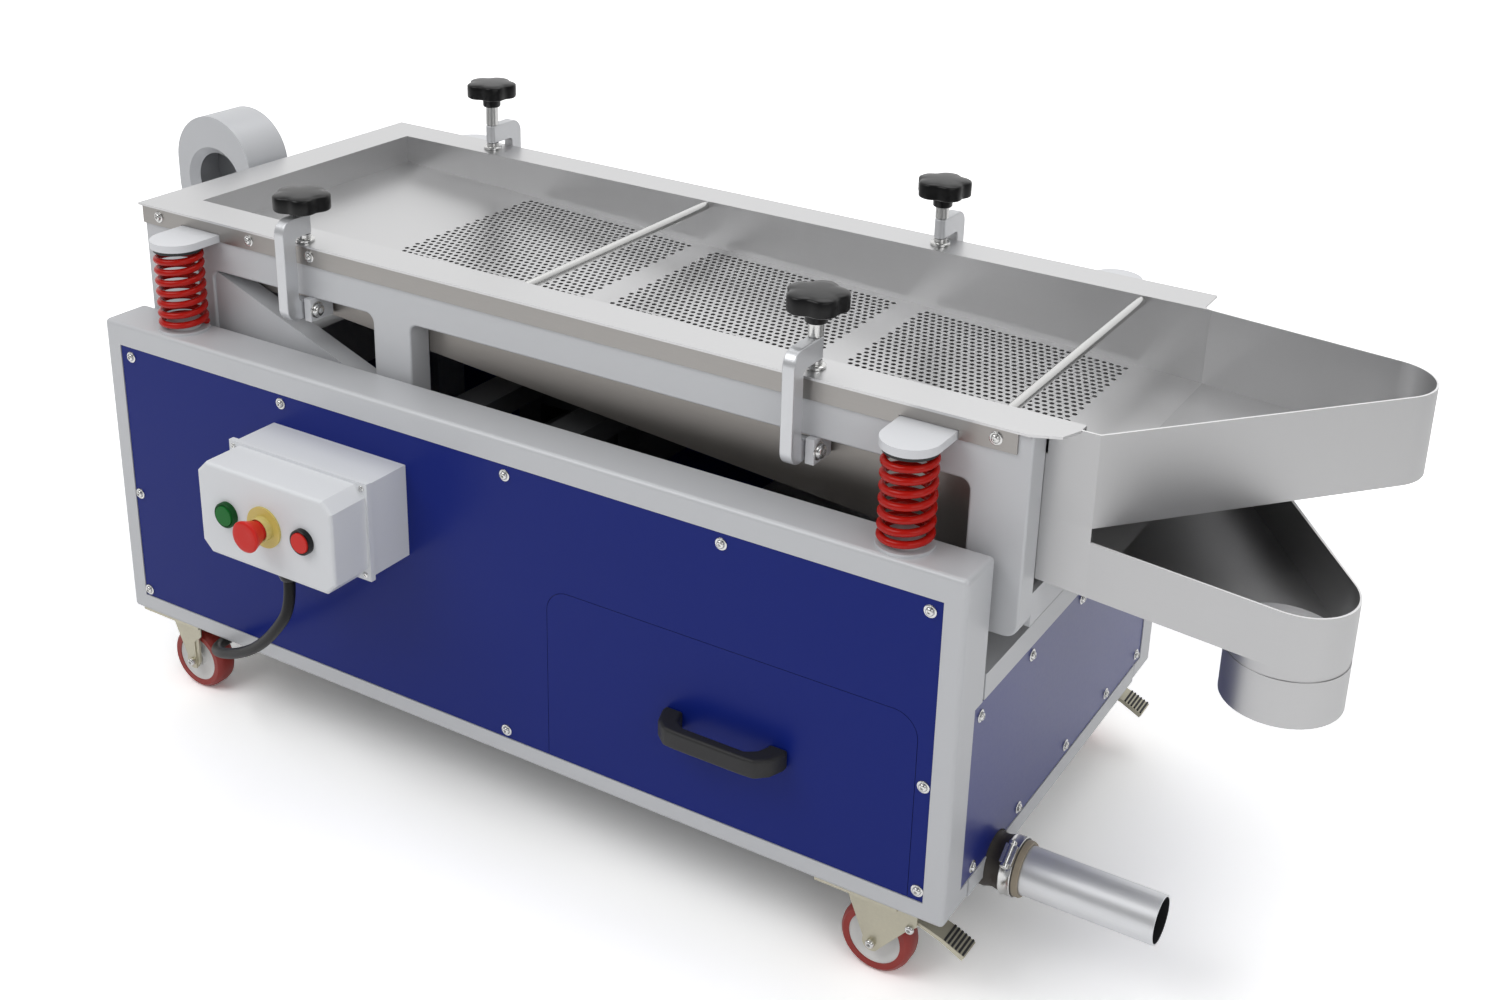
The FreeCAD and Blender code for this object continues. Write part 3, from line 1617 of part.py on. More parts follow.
# Check every object, move the origin to the floor and write the pieces
doc.recompute()
for item in doc.Objects:
    if "Invalid" in item.State or "Error" in item.State:
        raise RuntimeError(f"{item.Label} did not build: {item.State}")
for name, piece in pieces.items():
    if piece.Shape.isNull() or not piece.Shape.isValid():
        raise RuntimeError(f"{name} has no valid shape")

whole = FreeCAD.BoundBox()
for name, piece in pieces.items():
    if name != "power_cable":
        whole.add(piece.Shape.BoundBox)
origin = Vector(whole.Center.x, whole.Center.y, -size("caster_height"))
for piece in pieces.values():
    piece.Placement = Placement(-origin, Rotation()) * piece.Placement
print(f"origin {origin.x:.3f} {origin.y:.3f} {origin.z:.3f}")

os.makedirs("parts", exist_ok=True)
for name, piece in pieces.items():
    piece.Shape.exportStep(f"parts/{name}.step")
print(f"{len(pieces)} pieces, {whole.XLength:.0f} x {whole.YLength:.0f} x {whole.ZLength:.0f} mm")
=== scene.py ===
# %% [markdown]
# # A wheeled vibrating screen
# The machine is a wheeled base of silver painted tube with blue sheet panels. On it, four red coil
# springs carry a shaking body with a perforated stainless tray. The solids give every size. This
# script gives the surfaces and the fine forms. Sizes below are in millimetres from the lower
# corner of the base at its feed end and control side, unless a comment says otherwise.

# %% Frame
import math

import bmesh
import bpy
from mathutils import Matrix, Vector


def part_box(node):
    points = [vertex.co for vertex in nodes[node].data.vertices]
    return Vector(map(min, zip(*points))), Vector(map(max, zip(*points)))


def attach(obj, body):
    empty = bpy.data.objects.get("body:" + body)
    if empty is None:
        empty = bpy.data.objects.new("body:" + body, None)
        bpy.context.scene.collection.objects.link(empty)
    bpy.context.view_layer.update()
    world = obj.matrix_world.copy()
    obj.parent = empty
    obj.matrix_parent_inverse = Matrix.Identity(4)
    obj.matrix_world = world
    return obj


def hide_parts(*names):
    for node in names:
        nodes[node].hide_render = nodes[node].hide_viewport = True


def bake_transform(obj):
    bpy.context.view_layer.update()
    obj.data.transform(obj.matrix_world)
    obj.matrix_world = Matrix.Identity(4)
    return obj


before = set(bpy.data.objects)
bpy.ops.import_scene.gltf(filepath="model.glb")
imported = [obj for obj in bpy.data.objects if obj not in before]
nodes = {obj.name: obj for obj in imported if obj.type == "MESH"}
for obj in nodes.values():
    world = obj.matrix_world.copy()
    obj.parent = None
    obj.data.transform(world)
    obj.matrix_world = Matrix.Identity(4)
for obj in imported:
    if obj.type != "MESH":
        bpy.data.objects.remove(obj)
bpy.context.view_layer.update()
corner = Vector(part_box("base_frame")[0])


def spot(x, y, z):
    """A place in millimetres from the base's corner, as metres in the frame."""
    return corner + Vector((x, y, z)) * 0.001


print("base corner", tuple(round(value, 4) for value in corner))

# %% [markdown]
# ## Camera
# The picture looks down on the machine from the right of its front. The place, the angles in radians
# and the focal length in pixels were solved from the corners of the base.

# %% Camera
PHOTO_WIDTH = 1500
FOCAL_PIXELS = 1805.58
YAW, PITCH, ROLL = -0.4996, 0.3610, 0.0429
SHIFT_X, SHIFT_Y = -0.05, -0.1333
CAMERA_PLACE = (1574.39, -1234.19, 1111.12)

look = Vector((math.sin(YAW) * math.cos(PITCH), math.cos(YAW) * math.cos(PITCH), -math.sin(PITCH)))
level = Vector((math.cos(YAW), -math.sin(YAW), 0))
above = level.cross(look)
right = level * math.cos(ROLL) + above * math.sin(ROLL)
top = above * math.cos(ROLL) - level * math.sin(ROLL)
camera_data = bpy.data.cameras.new("Camera")
camera_data.lens = FOCAL_PIXELS * camera_data.sensor_width / PHOTO_WIDTH
camera_data.shift_x = SHIFT_X
camera_data.shift_y = SHIFT_Y
camera_data.clip_start = 0.05
camera = bpy.data.objects.new("Camera", camera_data)
bpy.context.scene.collection.objects.link(camera)
camera.matrix_world = Matrix((right, top, -look)).transposed().to_4x4()
camera.location = spot(*CAMERA_PLACE)
bpy.context.scene.camera = camera
bpy.context.scene.view_settings.view_transform = "Standard"
print("lens", round(camera_data.lens, 2), "mm")


# %% [markdown]
# ## Making meshes
# Every piece is built where it stands, so its object stays at the origin. Shading is smooth across
# gentle edges and sharp at the others. That keeps a turned part round and its rims crisp, and needs no
# more faces.

# %% Making meshes
def keep(name, mesh, material=None, smooth=None):
    """Link a mesh as a piece, shaded smooth across edges below an angle in degrees."""
    obj = bpy.data.objects.new(name, mesh)
    bpy.context.scene.collection.objects.link(obj)
    if material:
        mesh.materials.append(material)
    if smooth:
        mesh.shade_smooth()
        mesh.set_sharp_from_angle(angle=math.radians(smooth))
    print(name, "with", len(mesh.polygons), "faces")
    return obj


def from_bmesh(name, shape, material=None, smooth=None):
    """Weld a mesh under construction, turn its faces outwards and keep it as a piece."""
    bmesh.ops.remove_doubles(shape, verts=shape.verts, dist=1e-6)
    bmesh.ops.recalc_face_normals(shape, faces=shape.faces)
    mesh = bpy.data.meshes.new(name)
    shape.to_mesh(mesh)
    shape.free()
    return keep(name, mesh, material, smooth)


# %% [markdown]
# ## Finishes
# Every finish is a Principled shader with noise behind its roughness and bump. Paint gets a fine
# orange peel, sheet steel a grain that is stretched along the sheet, moulded plastic a fine grit.
# Pictures of the surfaces could do this too, but they need unwrapped pieces. The noise reads Object
# coordinates, so it keeps its size on every piece.

# %% Finish helpers
GRAIN_SCALE, BUMP_DISTANCE = 10.0, 0.0006


def finish(name, colour, rough, metal=0.0, grain=(60, 60, 60), bump=0.05, vary=0.06,
           rough_vary=0.08, mottle=6.0, specular=0.5):
    """A material with two layers of noise: fine grain for bump and roughness, and a broad mottle."""
    material = bpy.data.materials.new(name)
    material.use_nodes = True
    tree = material.node_tree
    make, link = tree.nodes.new, tree.links.new
    shader = tree.nodes["Principled BSDF"]
    shader.inputs["Metallic"].default_value = metal
    shader.inputs["Specular IOR Level"].default_value = specular
    place = make("ShaderNodeTexCoord")
    stretch = make("ShaderNodeMapping")
    stretch.inputs["Scale"].default_value = grain
    fine = make("ShaderNodeTexNoise")
    fine.inputs["Scale"].default_value = GRAIN_SCALE
    fine.inputs["Detail"].default_value = 4.0
    broad = make("ShaderNodeTexNoise")
    broad.inputs["Scale"].default_value = mottle
    broad.inputs["Detail"].default_value = 5.0
    link(place.outputs["Object"], stretch.inputs["Vector"])
    link(stretch.outputs["Vector"], fine.inputs["Vector"])
    link(place.outputs["Object"], broad.inputs["Vector"])
    mix = make("ShaderNodeMix")
    mix.data_type = "RGBA"
    mix.inputs["A"].default_value = (*[value * (1 - vary) for value in colour], 1)
    mix.inputs["B"].default_value = (*[min(1, value * (1 + vary)) for value in colour], 1)
    both = make("ShaderNodeMath")
    both.operation = "MULTIPLY_ADD"
    both.inputs[1].default_value = 0.5
    link(fine.outputs["Fac"], both.inputs[0])
    half = make("ShaderNodeMath")
    half.operation = "MULTIPLY"
    half.inputs[1].default_value = 0.5
    link(broad.outputs["Fac"], half.inputs[0])
    link(half.outputs["Value"], both.inputs[2])
    link(both.outputs["Value"], mix.inputs["Factor"])
    link(mix.outputs["Result"], shader.inputs["Base Color"])
    spread = make("ShaderNodeMapRange")
    spread.inputs["To Min"].default_value = max(0.02, rough - rough_vary)
    spread.inputs["To Max"].default_value = rough + rough_vary
    link(both.outputs["Value"], spread.inputs["Value"])
    link(spread.outputs["Result"], shader.inputs["Roughness"])
    raised = make("ShaderNodeBump")
    raised.inputs["Strength"].default_value = bump
    raised.inputs["Distance"].default_value = BUMP_DISTANCE
    link(fine.outputs["Fac"], raised.inputs["Height"])
    link(raised.outputs["Normal"], shader.inputs["Normal"])
    return material


# %% Finishes of this machine
silver_paint = finish("silver_paint", (0.56, 0.57, 0.59), 0.36, metal=0.10, grain=(45, 45, 45),
                      vary=0.025, mottle=3, specular=0.4)
# The frame's silver paint made lighter: painted light for the upward faces of the spring and clamp
# brackets.
bracket_painted_light = finish("bracket_painted_light", (0.70, 0.71, 0.735), 0.34, grain=(45, 45, 45), bump=0.04,
                       vary=0.015, mottle=4)
PANEL_BLUE = (0.0060, 0.0165, 0.178)
blue_paint = finish("blue_paint", PANEL_BLUE, 0.32, grain=(30, 30, 30), bump=0.03, vary=0.04,
                    mottle=2.5, specular=0.15)
end_blue = finish("end_blue", PANEL_BLUE, 0.30, grain=(30, 30, 30), bump=0.02, vary=0.04,
                  mottle=2.5, specular=0.8)
CHUTE_COLOUR = (0.53, 0.53, 0.535)
chute_steel = finish("chute_steel", CHUTE_COLOUR, 0.40, metal=1.0, grain=(3, 90, 90), bump=0.015,
                     vary=0.03, rough_vary=0.04, mottle=3)
# Painted shade: a near-black warm steel for the inside of the pan, where little light reaches.
pan_painted_shade = finish("pan_painted_shade", (0.075, 0.072, 0.068), 0.5, metal=0.6, grain=(4, 60, 60), bump=0.03)
# Painted highlight: a pale colour for the top edges of the chute walls.
rim_painted_highlight = finish("rim_painted_highlight", (0.86, 0.86, 0.865), 0.5, metal=0.3, bump=0.03)
# Painted shade: near black for the bore of the drain pipe.
bore_painted_shade = finish("bore_painted_shade", (0.020, 0.021, 0.024), 0.45, metal=0.3)
# Painted shade: near-black blue for the edge faces of the panels, in the gaps round them.
gap_painted_shade = finish("gap_painted_shade", (0.0015, 0.0035, 0.030), 0.6, specular=0.1)
cast_metal = finish("cast_metal", (0.66, 0.67, 0.69), 0.32, metal=0.55, bump=0.06, vary=0.04,
                    mottle=12)
steel_sheet = finish("steel_sheet", (0.66, 0.66, 0.665), 0.33, metal=1.0, grain=(3, 90, 90),
                     bump=0.015, vary=0.03, rough_vary=0.04, mottle=3)
warm_steel = finish("warm_steel", (0.38, 0.365, 0.35), 0.36, metal=0.9, grain=(4, 60, 60),
                    bump=0.06, vary=0.07, mottle=4)
pan_steel = finish("pan_steel", (0.40, 0.375, 0.35), 0.36, metal=0.95, grain=(4, 60, 60), bump=0.03,
                   vary=0.07, mottle=4)
red_paint = finish("red_paint", (0.43, 0.008, 0.004), 0.18, bump=0.03, mottle=20, specular=0.25)
black_plastic = finish("black_plastic", (0.006, 0.006, 0.0065), 0.28, grain=(160, 160, 160),
                       bump=0.015, vary=0.10, rough_vary=0.03, mottle=12, specular=0.30)
handle_plastic = finish("handle_plastic", (0.018, 0.018, 0.019), 0.48, grain=(220, 220, 220),
                        bump=0.25, vary=0.10, mottle=12, specular=0.4)
box_plastic = finish("box_plastic", (0.71, 0.725, 0.75), 0.38, grain=(150, 150, 150), bump=0.10,
                     vary=0.02, mottle=5, specular=0.4)
green_plastic = finish("green_plastic", (0.008, 0.145, 0.024), 0.32, grain=(90, 90, 90), bump=0.03,
                       specular=0.15)
dark_green = finish("dark_green", (0.005, 0.070, 0.014), 0.4, grain=(90, 90, 90), bump=0.03,
                    specular=0.15)
cable_rubber = finish("cable_rubber", (0.010, 0.010, 0.0105), 0.42, grain=(90, 90, 90), bump=0.10,
                      vary=0.15, specular=0.15)
button_red = finish("button_red", (0.60, 0.022, 0.016), 0.30, grain=(90, 90, 90), bump=0.03,
                    specular=0.2)
yellow_plastic = finish("yellow_plastic", (0.62, 0.50, 0.13), 0.35, grain=(120, 120, 120))
pale_yellow = finish("pale_yellow", (0.60, 0.50, 0.16), 0.25, grain=(120, 120, 120))
zinc_plate = finish("zinc_plate", (0.56, 0.53, 0.42), 0.36, metal=0.7, grain=(30, 30, 30), bump=0.06,
                    vary=0.14, mottle=18)
bright_zinc = finish("bright_zinc", (0.72, 0.72, 0.71), 0.22, metal=0.95, grain=(40, 40, 40),
                     bump=0.04, vary=0.08, mottle=25)
wheel_tread = finish("wheel_tread", (0.30, 0.024, 0.018), 0.38, bump=0.10, vary=0.14, mottle=25)
wheel_hub = finish("wheel_hub", (0.70, 0.70, 0.69), 0.40, grain=(90, 90, 90), bump=0.06, vary=0.03)
black_rubber = finish("black_rubber", (0.016, 0.016, 0.017), 0.48, grain=(90, 90, 90), bump=0.12,
                      vary=0.15)
brown_rubber = finish("brown_rubber", (0.045, 0.038, 0.032), 0.5, bump=0.15, vary=0.18, mottle=20)
tan_rubber = finish("tan_rubber", (0.32, 0.27, 0.20), 0.45, bump=0.12, vary=0.12, mottle=20)
pipe_steel = finish("pipe_steel", (0.80, 0.81, 0.83), 0.42, metal=0.7, grain=(2, 60, 60), vary=0.05,
                    mottle=4)
motor_paint_and_base_floor_shade = finish("motor_paint_and_base_floor_shade", (0.05, 0.052, 0.055), 0.5, metal=0.1, grain=(50, 50, 50),
                     bump=0.4, vary=0.10)

FINISH_OF = [
    (silver_paint, "base_frame spring_seats body_frame blower_scroll"),
    (blue_paint, "front_panel rear_panel drawer_front"),
    (end_blue, "feed_end_panel discharge_end_panel"),
    (bracket_painted_light, "spring_brackets clamp_brackets"),
    # The motor's own dark paint. On the base floor it is painted shade in the hollow of the base.
    (motor_paint_and_base_floor_shade, "base_floor vibration_motor"),
    (steel_sheet, "drawer_tray screen_tray"),
    (warm_steel, "apron_strips"),
    (pan_steel, "undersize_pan"),
    (chute_steel, "upper_chute lower_chute"),
    (pipe_steel, "drain_pipe"),
    (cast_metal, "clamp_arm"),
    (zinc_plate, "caster_plates caster_fork"),
    (bright_zinc, "drawer_runners tie_rods pipe_clip"),
    (black_rubber, "spring_washers"),
    (brown_rubber, "drain_socket"),
    (box_plastic, "control_box"),
    (yellow_plastic, "stop_button_ring"),
]
for material, starts in FINISH_OF:
    for name, obj in nodes.items():
        if name.startswith(tuple(starts.split())):
            obj.data.materials.clear()
            obj.data.materials.append(material)

# %% [markdown]
# ## Second materials: painted highlight and painted shade
# A painted highlight brightens the cut top edges of the chutes' sheet, and painted shade darkens the
# gap round a panel, the bore of the pipe and the inside of the pan. A thin mesh laid over such faces
# would flicker, so the piece gets a second material. Each test below picks faces by the way they look
# and where they lie. The levels of the rims are in metres above the floor. The pan changes colour along
# X, where the grey sheet of the lower chute is lapped on.

# %% Second finishes
PIPE_Y, PIPE_Z = 116.0, 4.0
UPPER_RIM, LOWER_RIM = 0.570, 0.440
PAN_LAP = 1070
STEEP, TOWARDS_AXIS = 0.5, -0.01


def change_beyond(material, x, colour):
    """Give a finish a second colour past a place along X, where another sheet is lapped on."""
    tree = material.node_tree
    make, link = tree.nodes.new, tree.links.new
    base_colour = tree.nodes["Principled BSDF"].inputs["Base Color"]
    first = base_colour.links[0].from_socket
    place = make("ShaderNodeTexCoord")
    axes = make("ShaderNodeSeparateXYZ")
    past = make("ShaderNodeMath")
    past.operation = "GREATER_THAN"
    past.inputs[1].default_value = spot(x, 0, 0).x
    choice = make("ShaderNodeMix")
    choice.data_type = "RGBA"
    choice.inputs["B"].default_value = (*colour, 1)
    link(place.outputs["Object"], axes.inputs["Vector"])
    link(axes.outputs["X"], past.inputs[0])
    link(past.outputs["Value"], choice.inputs["Factor"])
    link(first, choice.inputs["A"])
    link(choice.outputs["Result"], base_colour)


def second_finish(name, material, wanted):
    """Give the faces of a piece that pass a test a second material, which here is painted highlight or
    painted shade.
    """
    mesh = nodes[name].data
    mesh.materials.append(material)
    chosen = [face for face in mesh.polygons if wanted(face)]
    for face in chosen:
        face.material_index = len(mesh.materials) - 1
    print(material.name, "on", len(chosen), "faces of", name)


def looks_up(face):
    return face.normal.z > STEEP


def in_bore(face):
    """Faces that look at the pipe's own axis."""
    axis = spot(0, PIPE_Y, PIPE_Z)
    away = Vector((0, face.center.y - axis.y, face.center.z - axis.z))
    return face.normal.dot(away) < TOWARDS_AXIS


for material in (pan_steel, pan_painted_shade):
    change_beyond(material, PAN_LAP, CHUTE_COLOUR)
# Painted shade on the upward faces inside the pan.
second_finish("undersize_pan", pan_painted_shade, looks_up)
# Painted shade in the bore of the drain pipe.
second_finish("drain_pipe", bore_painted_shade, in_bore)
# A painted highlight on the top edges of both chutes' walls.
second_finish("upper_chute", rim_painted_highlight, lambda face: looks_up(face) and face.center.z > UPPER_RIM)
second_finish("lower_chute", rim_painted_highlight, lambda face: looks_up(face) and face.center.z > LOWER_RIM)
# Painted shade on the edge faces of every blue panel and of the drawer front.
for name in ("front_panel", "drawer_front", "rear_panel"):
    second_finish(name, gap_painted_shade, lambda face: abs(face.normal.y) < STEEP)
for name in ("feed_end_panel", "discharge_end_panel"):
    second_finish(name, gap_painted_shade, lambda face: abs(face.normal.x) < STEEP)
print(len(bpy.data.materials), "materials")

# %% [markdown]
# ## Power cable
# A mains cable of 12 mm leaves the gland under the control box, hangs along the blue panel and goes up
# into the base beside the first caster. A NURBS curve gives the even bends of a stiff cable: its
# control points are the corners of the route.

# %% Cable
CABLE_ROUTE = [
    (340, -80, 178), (340, -80, 146), (308, -73, 104), (264, -60, 62), (212, -44, 28),
    (162, -26, 4), (124, 6, -17), (116, 50, -22), (114, 82, -2), (114, 82, 32),
]
CABLE_DIAMETER = 12.0
GLAND_PLACE = spot(*CABLE_ROUTE[0])
cable_curve = bpy.data.curves.new("power_cable_line", "CURVE")
cable_curve.dimensions = "3D"
cable_line = cable_curve.splines.new("NURBS")
cable_line.points.add(len(CABLE_ROUTE) - 1)
for point, place in zip(cable_line.points, CABLE_ROUTE):
    point.co = (*spot(*place), 1)
cable_line.order_u = 3
cable_line.use_endpoint_u = True
cable_line.resolution_u = 12
cable_curve.bevel_depth = CABLE_DIAMETER / 2000
cable_curve.bevel_resolution = 6
cable_curve.materials.append(cable_rubber)
cable = bpy.data.objects.new("mains_cable", cable_curve)
bpy.context.scene.collection.objects.link(cable)
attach(cable, "base")
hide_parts("power_cable")
print("cable along", len(CABLE_ROUTE), "control points")

# %% [markdown]
# ## Turned parts
# Most fittings of this machine are turned: nuts, buttons, knobs, wheels and the boot of the drain. A
# Screw modifier could turn a profile. Here a small function places the rings itself, because a knob's
# radius changes with the angle. A profile is a list of pairs: a radius and a place along the axis.

# %% Turned forms
def skin(shape, rings, steps):
    """Faces between rings that follow one another. A ring of one vertex is a pole."""
    for low, high in zip(rings, rings[1:]):
        for step in range(steps):
            following = (step + 1) % steps
            corners = []
            for vert in (
                low[step % len(low)],
                low[following % len(low)],
                high[following % len(high)],
                high[step % len(high)],
            ):
                if vert not in corners:
                    corners.append(vert)
            if len(corners) > 2:
                shape.faces.new(corners)


def lathe(shape, profile, centre, axis, steps, form=None):
    """Turn a profile of (radius, along) pairs round an axis through centre. form bends the radius."""
    axis = Vector(axis).normalized()
    side = axis.orthogonal().normalized()
    if abs(axis.z) < 0.5:
        side = Vector((0, 0, 1))
    other = axis.cross(side)
    rings = []
    for radius, along in profile:
        ring = []
        for step in range(steps if radius > 0 else 1):
            angle = 2 * math.pi * step / steps
            reach = radius * (form(angle, radius) if form else 1)
            way = side * math.cos(angle) + other * math.sin(angle)
            ring.append(shape.verts.new(centre + (way * reach + axis * along) * 0.001))
        rings.append(ring)
    skin(shape, rings, steps)


def turned(name, profile, centre, axis, steps, material, smooth=40, form=None):
    """A piece that is one turned form."""
    shape = bmesh.new()
    lathe(shape, profile, centre, axis, steps, form)
    return from_bmesh(name, shape, material, smooth)


# %% [markdown]
# The gland is a six-sided nut against the box, with a round cap that narrows down to the cable. A
# turned form with six steps gives the nut.

# %% Gland
gland = bmesh.new()
lathe(gland, [(0, 0), (7.2, 0), (8.6, 1.5), (10.2, 6), (10.6, 8.5), (9.6, 9), (9.6, 10)],
      GLAND_PLACE, (0, 0, 1), 48)
lathe(gland, [(0, 9), (11, 9), (11.4, 9.6), (11.4, 17.4), (11, 18), (0, 18)], GLAND_PLACE, (0, 0, 1), 6)
gland_piece = from_bmesh("gland_nut", gland, black_plastic, 40)
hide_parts("cable_gland")
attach(gland_piece, "base")

# %% [markdown]
# ## Coil springs
# A pressure spring has closed turns that lie flat on its seats and open turns between them. A Screw
# modifier would rise evenly from end to end, so the wire is swept along a written path whose rise per
# turn changes near the ends. Each spring stands between the base and the body.

# %% Springs
SPRING_LOW, SPRING_HIGH = 363.0, 451.0
SPRING_RADIUS, WIRE = 22.8, 3.65
SPRING_TURNS, SPRING_START = 7.4, math.radians(45)
TURN_STEPS = 28
CLOSED_TURNS, OPENING_TURNS = 0.55, 0.5
SPRING_PLACES = {
    "front_feed": (92, 30), "front_end": (974, 30), "rear_feed": (92, 515), "rear_end": (974, 515),
}


def spring_path(x, y):
    """The wire's middle line: it climbs at half speed in the closed turns at both ends."""
    points = []
    steps = int(SPRING_TURNS * TURN_STEPS)
    rise = []
    total = 0.0
    for step in range(steps + 1):
        turn = step / TURN_STEPS
        from_end = min(turn, SPRING_TURNS - turn)
        speed = 0.5 + 0.5 * min(1, max(0, (from_end - CLOSED_TURNS) / OPENING_TURNS))
        rise.append(total)
        total += speed
    span = SPRING_HIGH - SPRING_LOW - 2 * WIRE
    for step, height in enumerate(rise):
        angle = SPRING_START + 2 * math.pi * step / TURN_STEPS
        points.append(spot(
            x + SPRING_RADIUS * math.cos(angle),
            y + SPRING_RADIUS * math.sin(angle),
            SPRING_LOW + WIRE + span * height / rise[-1],
        ))
    return points


def sweep(shape, path, radius, sides=12):
    """A closed round bar along a path of places in metres."""
    rings = []
    normal = None
    for index, place in enumerate(path):
        ahead = path[min(index + 1, len(path) - 1)] - path[max(index - 1, 0)]
        ahead.normalize()
        if normal is None:
            normal = ahead.orthogonal().normalized()
        normal = (normal - ahead * normal.dot(ahead)).normalized()
        other = ahead.cross(normal)
        ring = []
        for step in range(sides):
            angle = 2 * math.pi * step / sides
            way = normal * math.cos(angle) + other * math.sin(angle)
            ring.append(shape.verts.new(place + way * radius * 0.001))
        rings.append(ring)
    skin(shape, rings, sides)
    shape.faces.new(rings[0])
    shape.faces.new(rings[-1])


for name, (x, y) in SPRING_PLACES.items():
    coil = bmesh.new()
    sweep(coil, spring_path(x, y), WIRE)
    spring = from_bmesh(f"coil_{name}", coil, red_paint, 60)
    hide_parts(f"spring_{name}")
    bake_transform(spring)
print("springs of", SPRING_TURNS, "turns and", 2 * (SPRING_RADIUS + WIRE), "mm across")

# %% [markdown]
# ## Perforated deck
# The deck is a stainless sheet with three fields of round holes in staggered rows. A Boolean with
# thousands of cutters would be slow and leave slivers. One small tile with a hole is made by hand
# instead. A Geometry Nodes tree lays it out in rows, moves every other row by half a step and welds
# the tiles. The middle of a tile's side meets the corner of the tiles in the next row, so the welded
# sheet has no seams.

# %% Tile
HOLE_STEP_X, HOLE_STEP_Y, HOLE_RADIUS = 7.9, 8.65, 2.8
SHEET = 2.0
HOLE_SIDES = 8


def hole_tile():
    """A rectangle with a round hole: an upper ring, a lower ring and the wall of the hole."""
    shape = bmesh.new()
    rim = [(1, 0), (1, 1), (0, 1), (-1, 1), (-1, 0), (-1, -1), (0, -1), (1, -1)]
    rings = {}
    for height in (0.0, -SHEET):
        outer = [
            shape.verts.new((a * HOLE_STEP_X / 2000, b * HOLE_STEP_Y / 2000, height / 1000))
            for a, b in rim
        ]
        inner = []
        for step in range(HOLE_SIDES):
            angle = 2 * math.pi * step / HOLE_SIDES
            x, y = HOLE_RADIUS * math.cos(angle), HOLE_RADIUS * math.sin(angle)
            inner.append(shape.verts.new((x / 1000, y / 1000, height / 1000)))
        rings[height] = inner
        for step in range(HOLE_SIDES):
            after = (step + 1) % HOLE_SIDES
            corners = [outer[step], outer[after], inner[after], inner[step]]
            shape.faces.new(corners if height == 0 else corners[::-1])
    for step in range(HOLE_SIDES):
        after = (step + 1) % HOLE_SIDES
        upper, lower = rings[0.0], rings[-SHEET]
        shape.faces.new((upper[step], upper[after], lower[after], lower[step]))
    mesh = bpy.data.meshes.new("hole_tile")
    shape.to_mesh(mesh)
    shape.free()
    return keep("hole_tile", mesh)


# %% Making and running a tree
def new_tree(name, *inputs):
    """An empty Geometry Nodes tree, with the identifiers of its named inputs."""
    tree = bpy.data.node_groups.new(name, "GeometryNodeTree")
    tree.interface.new_socket("Geometry", in_out="INPUT", socket_type="NodeSocketGeometry")
    sockets = {}
    for label, kind in inputs:
        sockets[label] = tree.interface.new_socket(label, in_out="INPUT", socket_type=kind).identifier
    tree.interface.new_socket("Geometry", in_out="OUTPUT", socket_type="NodeSocketGeometry")
    return tree, sockets, tree.nodes.new("NodeGroupInput"), tree.nodes.new("NodeGroupOutput")


def run_tree(name, start_mesh, tree, sockets, values):
    """Run a tree on a mesh and return the result as a plain mesh."""
    carrier = keep(name, start_mesh)
    modifier = carrier.modifiers.new("Layout", "NODES")
    modifier.node_group = tree
    for label, value in values.items():
        modifier[sockets[label]] = value
    graph = bpy.context.evaluated_depsgraph_get()
    result = bpy.data.meshes.new_from_object(carrier.evaluated_get(graph))
    result.name = name
    bpy.data.objects.remove(carrier)
    return result


# %% Rows of holes
WELD_DISTANCE = 0.00002


